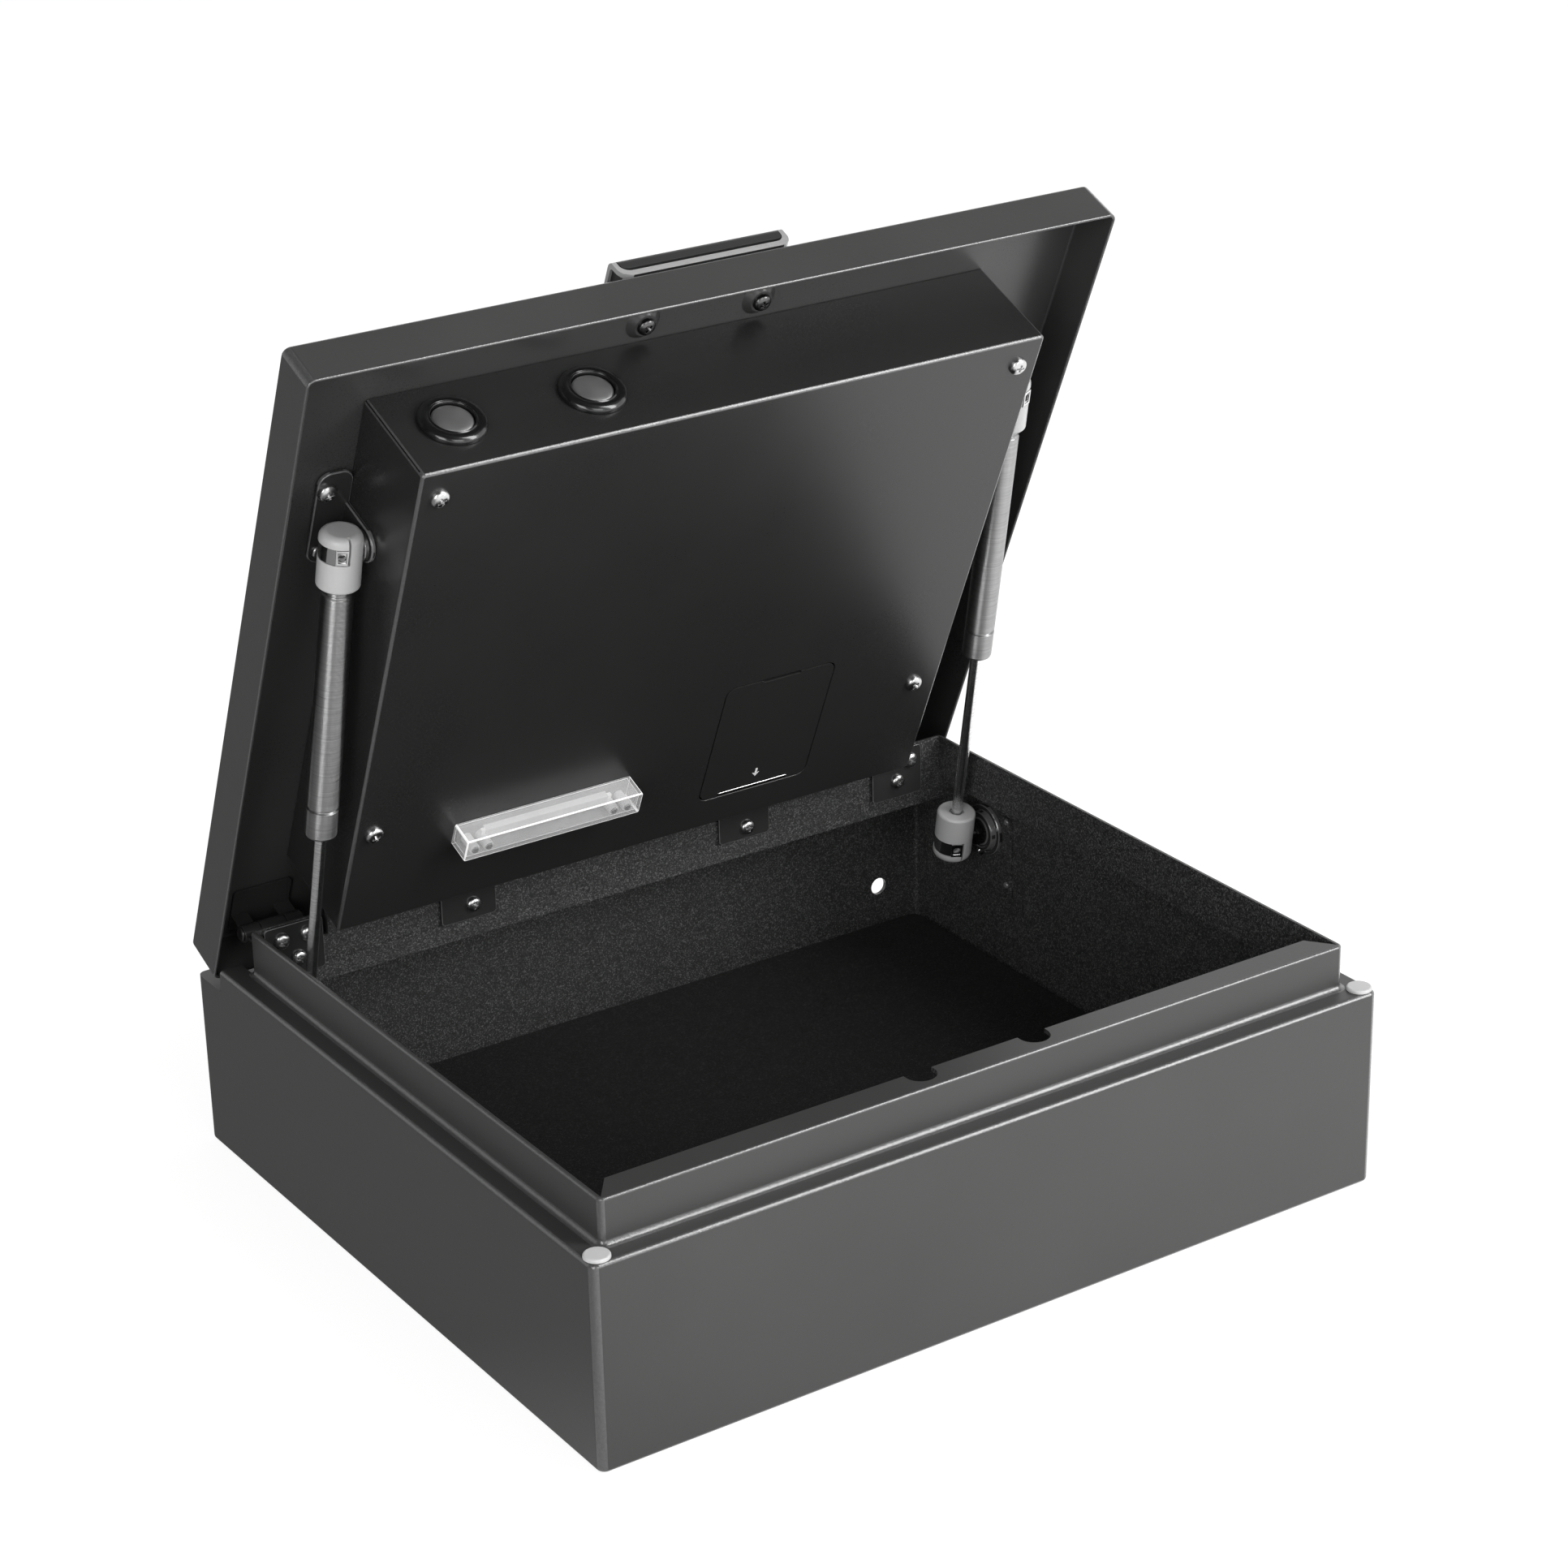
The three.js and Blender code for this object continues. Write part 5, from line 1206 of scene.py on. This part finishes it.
def socket_body(entry, hole):
    """A plastic socket up from its ball at the origin: window and clip groove opposite the
    ball's entry, a slit down to the end, and a hole for the rod or the tube's neck."""
    radius, end, length, flat = SOCKET
    top = length - end
    profile = [(0, -end)]
    profile += [(radius - SOCKET_DOME * (1 - up), -end + SOCKET_DOME * over)
                for over, up in quarter(8)]
    profile += [(radius - SOCKET_RIM * over, top - SOCKET_RIM * (1 - up))
                for over, up in quarter(5)]
    profile += [(hole + 0.4, top), (hole, top - 0.4), (hole, top - SOCKET_HOLE),
                (0, top - SOCKET_HOLE)]
    body = turned("socket", profile, 64)
    hold = BALL + BALL_ROOM
    tools = [
        rod(hold, (0, 0, 0), (entry, 0, 0), 0, radius + REACH, 40),
        turned("hold", ball_profile(hold), 40),
        slab(*sorted((entry * flat, entry * SOCKET_FAR)), -SOCKET_FAR, SOCKET_FAR,
             -end - REACH, end),
        clip_ring(entry, CLIP_RADIUS - CLIP_SHEET - 1.2, radius + REACH,
                  CLIP_HEIGHT + GROOVE_ROOM, 5.0),
    ]
    at = clip_end(entry, TAB_TURN)
    tools.append(rod(TAB_BORE, (0, 0, CLIP_SHIFT), (math.cos(at), math.sin(at), 0), BALL - 1,
                     radius + REACH, 28))
    slit = slab(SLIT_FROM, SOCKET_FAR, -SLIT, SLIT, -end - REACH, CLIP_SHIFT)
    slit.data.transform(Matrix.Rotation(clip_end(entry, CLIP_SPREAD + 2.0), 4, "Z"))
    return softened(cut(body, *tools, slit), 0.25)


def clip_end(entry, spread):
    """The turn about a socket's axis to a place on the front half of its clip."""
    return math.radians(180 + spread if entry > 0 else -spread)


def clip_ring(entry, inner, outer, height, grow=0.0):
    middle = 180 if entry > 0 else 0
    half = CLIP_SPREAD + grow
    outline = arc(0, 0, outer, middle - half, middle + half, 30)
    outline += arc(0, 0, inner, middle + half, middle - half, 30)
    return pulled("clip", outline, "z", CLIP_SHIFT - height / 2, CLIP_SHIFT + height / 2)


def clip_spring(entry):
    """The steel clip: a band round the socket that ends in a square tab with a hole."""
    radius, height = CLIP_RADIUS, CLIP_HEIGHT
    at = clip_end(entry, TAB_TURN)
    hole = rod(CLIP_BORE, (0, 0, CLIP_SHIFT), (math.cos(at), math.sin(at), 0), 0,
               radius + REACH, 28)
    band = cut(clip_ring(entry, radius - CLIP_SHEET, radius, height), hole)
    half, window, frame_height = CLIP_TAB
    tab = slab(-0.2, 0.6, -half, half, -height / 2, height / 2)
    tab = cut(tab, slab(-REACH, REACH, -window, window, -height / 2 + frame_height,
                        height / 2 - frame_height))
    tab.data.transform(Matrix.Translation((0, 0, CLIP_SHIFT)) @ Matrix.Rotation(at, 4, "Z")
                       @ Matrix.Translation((radius - 0.2, 0, 0)))
    return gathered(softened(band, 0.25), softened(tab, 0.2))


def make_strut(name, side):
    place = strut_place(name)
    rod_span = Span(f"strut_rod_{name}", place)
    tube = Span(f"strut_tube_{name}", place)
    length = tube.z1 + rod_span.z0
    ends = {"low": (place, f"{name}_rod", ROD_RADIUS + 0.9),
            "high": (place @ Matrix.Translation((0, 0, length)) @ Matrix.Rotation(
                math.pi, 4, "Y"), f"{name}_tube", TUBE_NECK[0] + 0.5)}
    for end, (at, body, hole) in ends.items():
        piece = painted(socket_body(side, hole), GREY_PLASTIC)
        fitted(piece, f"socket_{end}_{name}", at, body, "grey_plastic",
               f"strut_socket_{end}_{name}")
        piece = painted(clip_spring(side), SPRING_STEEL)
        fitted(piece, f"spring_clip_{end}_{name}", at, body, "spring_steel",
               f"strut_clip_{end}_{name}")

    piston = rod_span.z1 - PISTON
    start = rod_span.z0 - SOCKET_HOLE
    radius = tube.x1 - tube.x
    bore = radius - TUBE_WALL
    profile = [(0, start), (ROD_RADIUS - 0.3, start), (ROD_RADIUS, start + 0.3),
               (ROD_RADIUS, piston), (bore - 0.4, piston), (bore - 0.4, rod_span.z1),
               (0, rod_span.z1)]
    piece = painted(turned("rod", profile, 40), ROD_STEEL)
    fitted(piece, f"rod_{name}", place, f"{name}_rod", "chrome", f"strut_rod_{name}")

    neck, neck_length = TUBE_NECK
    hole, gland, groove_up, groove_deep = GLAND
    low, high = tube.z0, tube.z1
    groove = low + groove_up
    shoulder = high - neck_length
    profile = [(hole, low + gland), (hole, low + 0.3), (hole + 0.3, low), (radius - 2.0, low),
               (radius - 1.0, low + 0.2), (radius - 0.3, low + 0.8), (radius, low + 1.6)]
    profile += [(radius, groove - 0.8), (radius - groove_deep, groove - 0.3),
                (radius - groove_deep, groove + 0.3), (radius, groove + 0.8)]
    profile += [(radius, shoulder - 1.2), (radius - 0.15, shoulder - 0.6),
                (radius - 0.5, shoulder - 0.15), (neck, shoulder + 0.3),
                (neck, high + SOCKET_HOLE - 0.3), (neck - 0.3, high + SOCKET_HOLE),
                (0, high + SOCKET_HOLE)]
    inner = [(0, shoulder - 1.0), (bore - 0.6, shoulder - 1.0), (bore, shoulder - 1.6),
             (bore, low + gland)]
    piece = turned("tube", inner + profile, 56)
    fitted(painted(piece, TUBE_STEEL), f"tube_{name}", place, f"{name}_tube", "brushed_tube",
           f"strut_tube_{name}", smooth=30)

    upper = Matrix.Translation(place @ Vector((0, 0, length))) @ SCALE
    stud = Span(f"strut_stud_{name}", upper)
    reach = max(abs(stud.x0), abs(stud.x1))
    way = 1 if stud.x1 > -stud.x0 else -1
    profile = ball_profile(BALL)[:-2]
    profile += [(3.0, 4.1), (STUD_NECK, 4.6), (STUD_NECK, reach - 2.1), (6.7, reach - 2.0),
                (7.0, reach - 1.7), (7.0, reach - 0.3), (6.7, reach), (0, reach)]
    piece = turned("stud", profile, 40, facing((0, 0, 0), (way, 0, 0)))
    fitted(painted(piece, CHROME), f"ball_stud_{name}", upper, f"{name}_tube", "chrome",
           f"strut_stud_{name}")


def make_wall_mount(name, side):
    span = Span(f"strut_wall_mount_{name}", BASE)
    wall = side * max(abs(span.x0), abs(span.x1))
    ball_x = JOINTS[f"strut_swing_{name}"]["pos_m"][0] / MM
    reach = abs(wall - ball_x)
    profile = [(0, 0), (13, 0), (13, 1.6), (12.6, 2.0), (11.4, 2.0), (11.2, 1.7), (10.6, 1.7),
               (10.3, 2.2), (10, 4.0), (9.5, 4.5), (8.4, 4.6), (8.0, 4.2), (7.2, 4.2),
               (6.4, 4.6), (0, 4.6)]
    plate = turned("mount", profile, 64, facing((wall, span.y, span.z), (-side, 0, 0)))
    hexagon = turned("hex", [(0, 4.4), (6.2, 4.4), (6.6, 4.9), (6.6, 8.9), (6.0, 9.5), (0, 9.5)],
                     6, facing((wall, span.y, span.z), (-side, 0, 0), 0.3))
    neck = turned("neck", [(0, 9.3), (STUD_NECK, 9.3), (STUD_NECK, reach - 4.5),
                           (3.0, reach - 4.0)]
                  + [(r, z + reach) for r, z in ball_profile(BALL)[3:]], 40,
                  facing((wall, span.y, span.z), (-side, 0, 0)))
    painted(plate, LEAF_COAT, LEAF_EDGE_HIGHLIGHT, where=on_bends)
    piece = gathered(plate, painted(hexagon, DARK_SCREW), painted(neck, CHROME))
    fitted(piece, f"wall_mount_{name}", BASE, "base", "black_coat",
           f"strut_wall_mount_{name}")


BRACKET_SHEET = 2.0
# A bracket: its foot's corner, its ball from the lid's front, its ear's radius, foot and slant
BRACKET = (6.0, 95.6, 8.0, 20.0, 18.0)
FOOT_SCREW_INSET = 29.5


def make_bracket(name, side):
    """The lid bracket: foot plate under the panel and a rounded ear beside the strut's ball."""
    span = Span(f"strut_lid_bracket_{name}", LID)
    corner, ball_from_front, ear_radius, ear_foot, tilt = BRACKET
    foot = pulled("foot", round_rect(span.x0, span.x1, span.y0, span.y1, corner, 10), "z",
                  span.z1 - BRACKET_SHEET, span.z1)
    ball_y = tray.y0 + ball_from_front
    ball_z = span.z0 + ear_radius
    face = span.x1 if side < 0 else span.x0
    far = face + side * BRACKET_SHEET
    high = span.z1 - BRACKET_SHEET
    outline = [(ball_y + ear_foot, span.z1 - 0.3), (ball_y - ear_radius, span.z1 - 0.3)]
    outline += arc(ball_y, ball_z, ear_radius, 180, 360 + tilt, 28)
    outline += [(ball_y + ear_foot, high)]
    ear = pulled("ear", outline, "x", *sorted((face, far)))
    piece = gathered(softened(foot, 0.6, 3), softened(ear, 0.6, 3))
    painted(piece, LEAF_COAT, LEAF_EDGE_HIGHLIGHT, where=on_bends)
    fitted(piece, f"lid_bracket_{name}", LID, "lid", "black_coat", f"strut_lid_bracket_{name}")


# Screws and rivets
def cross_screw():
    """A pan head of radius 1 with a cross recess, its seat at height 0."""
    profile = [(0, -0.15), (0.9, -0.15), (1.0, -0.05), (1.0, 0.16), (0.97, 0.28), (0.9, 0.4),
               (0.76, 0.52), (0.55, 0.6), (0.3, 0.635), (0, 0.645)]
    head = turned("screw_head", profile, 36)
    slots = []
    for turn in (0, math.pi / 2):
        blade = [(-0.5, 0.9), (-0.46, 0.45), (-0.14, 0.12), (0.14, 0.12), (0.46, 0.45), (0.5, 0.9)]
        slot_tool = pulled("blade", blade, "y", -0.13, 0.13)
        slot_tool.data.transform(Matrix.Rotation(turn, 4, "Z"))
        slots.append(slot_tool)
    return softened(cut(head, *slots), 0.03, 1, 50)


def dome_rivet():
    profile = [(0, -0.1), (0.9, -0.1), (1.0, 0.0), (0.97, 0.18), (0.86, 0.36), (0.64, 0.52),
               (0.34, 0.61), (0, 0.64)]
    return turned("rivet_head", profile, 28)


def scatter_tree():
    """Sets a head on every point, turned along its aim, spun and sized by the point."""
    tree = bpy.data.node_groups.new("set_heads", "GeometryNodeTree")
    for name, kind in (("Spots", "Geometry"), ("Head", "Object"), ("Finish", "Material"),
                       ("Size", "Float")):
        tree.interface.new_socket(name, in_out="INPUT", socket_type=f"NodeSocket{kind}")
    tree.interface.new_socket("Heads", in_out="OUTPUT", socket_type="NodeSocketGeometry")
    net = Paint("set_heads", tree)

    def given(name):
        return net.node("NodeGroupInput", output=name)

    def named(name, kind="FLOAT"):
        return net.node("GeometryNodeInputNamedAttribute", {"data_type": kind},
                        {"Name": name}, "Attribute")

    head = net.node("GeometryNodeObjectInfo", None, {"Object": given("Head")}, "Geometry")
    aim = net.node("FunctionNodeAlignRotationToVector", {"axis": "Z"},
                   {"Vector": named("aim", "FLOAT_VECTOR")})
    spin = net.node("FunctionNodeAxisAngleToRotation", None,
                    {"Axis": (0, 0, 1), "Angle": named("spin")})
    turn = net.node("FunctionNodeRotateRotation", {"rotation_space": "LOCAL"},
                    {"Rotation": aim, "Rotate By": spin})
    spots = net.node("GeometryNodeInstanceOnPoints", None, {
        "Points": given("Spots"), "Instance": head, "Rotation": turn,
        "Scale": named("size") * given("Size")})
    real = net.node("GeometryNodeRealizeInstances", None, {"Geometry": spots})
    done = net.node("GeometryNodeSetMaterial", None,
                    {"Geometry": real, "Material": given("Finish")})
    net.node("NodeGroupOutput", None, {"Heads": done})
    return tree


SCATTER = scatter_tree()
SCREW_HEAD = cross_screw()
RIVET_HEAD = dome_rivet()


def heads(name, place, body, slot, head, finish, spots, nodes=()):
    """Screws or rivets on one body. Each spot is its seat, its aim, its radius and its spin."""
    field = piece_of(name, [spot[0] for spot in spots], [])
    for label, kind, column, part in (("aim", "FLOAT_VECTOR", 1, "vector"),
                                      ("size", "FLOAT", 2, "value"),
                                      ("spin", "FLOAT", 3, "value")):
        layer = field.data.attributes.new(label, kind, "POINT")
        for item, spot in zip(layer.data, spots):
            setattr(item, part, spot[column])
    setter = field.modifiers.new("heads", "NODES")
    setter.node_group = SCATTER
    given = {item.name: item.identifier for item in SCATTER.interface.items_tree
             if item.in_out == "INPUT"}
    setter[given["Head"]] = head
    setter[given["Finish"]] = finish
    setter[given["Size"]] = 1.0
    baked(field)
    fitted(field, name, place, body, slot, *nodes)


# Where a wall mount's plate faces the room, from the middle
MOUNT_SEAT = 0.3
MOUNT_SHEET = 2.0
MOUNT_FACE = shell.x1 - SHEET - MOUNT_SEAT - MOUNT_SHEET
# The heads' radii
PLATE_HEAD = 4.2
LEAF_HEAD = 3.7
LIGHT_HEAD = 1.7
STRIP_RIVET = 1.8
MOUNT_RIVET = 1.1
MOUNT_HEAD = 2.7
# Where the screws sit: on the plate in the lid's axes (x, y), on the leaves (x, z)
PLATE_SCREWS = ((-148.5, -122.0), (140.3, -122.0), (137.5, 67.2), (-149.0, 69.0))
LEAF_SCREWS = ((-175.2, 107.5), (-167.5, 97.2), (-162.3, 108.0), (-78.0, 98.4), (72.2, 97.0),
               (160.5, 98.0), (168.2, 107.5))
# The rivets round a mount: their angles and their distance from its middle
MOUNT_RIVETS = ((40, 160, 280), 11.6)
STRIP_RIVETS_DOWN = (2.2, 36.0)
# A bracket's front and back screw: the distance from the foot's edge and the head's radius
FOOT_SCREWS = ((9.5, 4.4), (6.6, 3.0))


def add_fasteners():
    heads("plate_screws", LID, "lid", "chrome", SCREW_HEAD, SCREW_STEEL,
          [((x, y, PLATE), DOWN, PLATE_HEAD, 0.5 + n) for n, (x, y) in enumerate(PLATE_SCREWS)])
    boss_z = LID_UNDER - BOSS[2]
    heads("lid_screws", LID, "lid", "zinc", SCREW_HEAD, DARK_SCREW,
          [((x, panel_screw.y, boss_z), DOWN, PLATE_HEAD, 0.9 + n)
           for n, x in enumerate(PANEL_SCREWS)],
          ("panel_screw_left", "panel_screw_right"))
    leaf_front = HINGE_LEAVES[0].y0
    heads("leaf_screws", BASE, "base", "chrome", SCREW_HEAD, SCREW_STEEL,
          [((x, leaf_front, z), FORWARD, LEAF_HEAD, 0.4 * n)
           for n, (x, z) in enumerate(LEAF_SCREWS)])
    heads("light_screws", LID, "lid", "zinc", SCREW_HEAD, DARK_SCREW,
          [((x, POST_Y, POST_TOP), DOWN, LIGHT_HEAD, 0.3 * n)
           for n, x in enumerate(LIGHT_SCREWS)])
    rivets, mount_screws = [], []
    for side in (-1, 1):
        face = side * (shell.x1 - SHEET - SIDE_STRIP_SHEET)
        for down in STRIP_RIVETS_DOWN:
            seat = (face, SIDE_STRIP_BACK - SIDE_STRIP_WIDTH / 2, SIDE_STRIP_TOP - down)
            rivets.append((seat, (-side, 0, 0), STRIP_RIVET, 0.0))
        plate = side * MOUNT_FACE
        angles, radius = MOUNT_RIVETS
        for angle in angles:
            y = mount_left.y + radius * math.cos(math.radians(angle))
            z = mount_left.z + radius * math.sin(math.radians(angle))
            rivets.append(((plate, y, z), (-side, 0, 0), MOUNT_RIVET, 0.0))
        mount_screws.append(((plate, mount_left.y + 1.0, mount_left.z - 11.0), (-side, 0, 0),
                             MOUNT_HEAD, 0.7))
    # The rivet heads take the light edge tone as a painted highlight
    heads("wall_rivets", BASE, "base", "black_coat", RIVET_HEAD, LEAF_EDGE_HIGHLIGHT, rivets)
    heads("mount_screws", BASE, "base", "chrome", SCREW_HEAD, CHROME, mount_screws)
    foot_screws = []
    for name in ("left", "right"):
        span = Span(f"strut_lid_bracket_{name}", LID)
        x = math.copysign(tray.x1 - FOOT_SCREW_INSET, span.x)
        (from_front, front_head), (from_back, back_head) = FOOT_SCREWS
        seat = span.z1 - BRACKET_SHEET
        foot_screws.append(((x, span.y0 + from_front, seat), DOWN, front_head, 0.3))
        foot_screws.append(((x, span.y1 - from_back, seat), DOWN, back_head, 1.1))
    heads("bracket_screws", LID, "lid", "zinc", SCREW_HEAD, SCREW_STEEL, foot_screws)
    for source in (SCREW_HEAD, RIVET_HEAD):
        bpy.data.objects.remove(source)


def finish_hidden():
    """The lock, the batteries and the boards keep their own shape and take a finish."""
    finishes = {
        "bolt_keeper": LEAF_COAT, "bolt_carriage": ZINC, "lock_pinion": BRASS,
        "lock_chassis": ZINC, "lock_motor": BLACK_PLASTIC, "circuit_board": BOARD,
        "battery_box": BLACK_PLASTIC,
    }
    finishes.update({f"battery_{n}": CELL_WRAP for n in (1, 2, 3, 4)})
    for node, material in finishes.items():
        slots = NODES[node].material_slots
        if slots:
            for held in slots:
                held.material = material
        else:
            NODES[node].data.materials.append(material)


# The studio
def soft_light(name, direction, distance, size, power):
    data = bpy.data.lights.new(name, "AREA")
    data.shape = "RECTANGLE"
    data.size, data.size_y = size
    data.energy = power
    lamp = bpy.data.objects.new(name, data)
    bpy.context.scene.collection.objects.link(lamp)
    way = Vector(direction).normalized()
    lamp.matrix_world = facing(AIMED_AT + way * distance, way)


def seen_directly(paint):
    """1 for what the camera sees straight, in a mirror or through glass."""
    path = paint.tree.nodes.new("ShaderNodeLightPath")
    return [Signal(paint, path.outputs[name])
            for name in ("Is Camera Ray", "Is Glossy Ray", "Is Transmission Ray")]


# A mirror's view of the surroundings, as (where, level) along each ramp, and the levels at 1
SKY_ACROSS = ((0.0, 0.10), (0.42, 0.12), (0.62, 0.75), (0.8, 1.0), (1.0, 1.0))
SKY_MIRRORED = 1.2
SKY_BEHIND_LEFT = 0.5
SKY_PLAIN = 0.42
FLOOR_ACROSS = ((0.0, 0.17), (0.42, 0.20), (0.55, 0.66), (0.75, 1.0), (1.0, 1.0))
FLOOR_MIRRORED = 1.5
FLOOR_SHARE = 0.62
FLOOR_SEEN = 1.36

# Each lamp's name, direction, distance, size and power
LAMPS = (
    ("tall_right", (0.50, -0.62, 0.55), 2.6, (0.8, 2.6), 60.0),
    ("front", (-0.1, -0.95, 0.3), 3.0, (1.4, 1.4), 18.0),
    ("side_left", (-0.8, -0.6, 0.3), 2.6, (1.1, 1.6), 26.0),
)
AIMED_AT = Vector((0.0, 0.0, 0.15))


def add_studio():
    """White all round: what the camera sees, what a mirror sees and what lights the room."""
    scene = bpy.context.scene
    scene.view_settings.view_transform = "Standard"
    world = bpy.data.worlds.new("studio")
    scene.world = world
    world.use_nodes = True
    paint = Paint("studio", world.node_tree)
    camera, glossy, through = seen_directly(paint)
    x, y, z = apart(paint, paint.node("ShaderNodeTexCoord", output="Generated"))
    across = paint.steps(x * 0.5 + 0.5, SKY_ACROSS)
    low = paint.steps(z, ((0.0, 1.0), (0.55, 1.0), (0.7, 0.15), (1.0, 0.1)))
    behind_left = (y > 0.55) * (x < -0.3) * (z < 0.6) * SKY_BEHIND_LEFT
    mirrored = across * low * SKY_MIRRORED + behind_left
    level = camera + (1 - camera) * (glossy * mirrored + (1 - glossy) * (
        through + (1 - through) * SKY_PLAIN))
    light_node = paint.node("ShaderNodeBackground", None, {"Strength": level,
                                                           "Color": (1, 1, 1, 1)})
    paint.node("ShaderNodeOutputWorld", None, {"Surface": light_node})

    floor = piece_of("floor", [(-6, -6, 0), (6, -6, 0), (6, 6, 0), (-6, 6, 0)], [(0, 1, 2, 3)])
    floor.location.z = -0.0002
    paint = Paint("floor")
    camera, glossy, through = seen_directly(paint)
    x, y, z = apart(paint, paint.node("ShaderNodeNewGeometry", output="Position"))
    across = paint.steps((x - y) * 0.5 + 0.5, FLOOR_ACROSS)
    shine_level = camera * FLOOR_SEEN + glossy * across * FLOOR_MIRRORED + through
    share = camera * FLOOR_SHARE + glossy + through
    plain = paint.node("ShaderNodeBsdfDiffuse", None, {"Color": grey(0.82)})
    shine = paint.node("ShaderNodeEmission", None, {"Color": shine_level, "Strength": 1.0})
    both = paint.node("ShaderNodeMixShader", None, {0: share, 1: plain, 2: shine})
    paint.node("ShaderNodeOutputMaterial", None, {"Surface": both})
    floor.data.materials.append(paint.made)

    for lamp in LAMPS:
        soft_light(*lamp)


make_box()
make_mat()
make_bumpers()
for number, leaf in enumerate(HINGE_LEAVES, 1):
    make_hinge(number, leaf)
make_tray()
make_housing()
make_door()
make_lock_faces()
make_light()
make_panel()
for strut_name, strut_side in (("left", -1), ("right", 1)):
    make_strut(strut_name, strut_side)
    make_wall_mount(strut_name, strut_side)
    make_bracket(strut_name, strut_side)
add_fasteners()
finish_hidden()
add_studio()
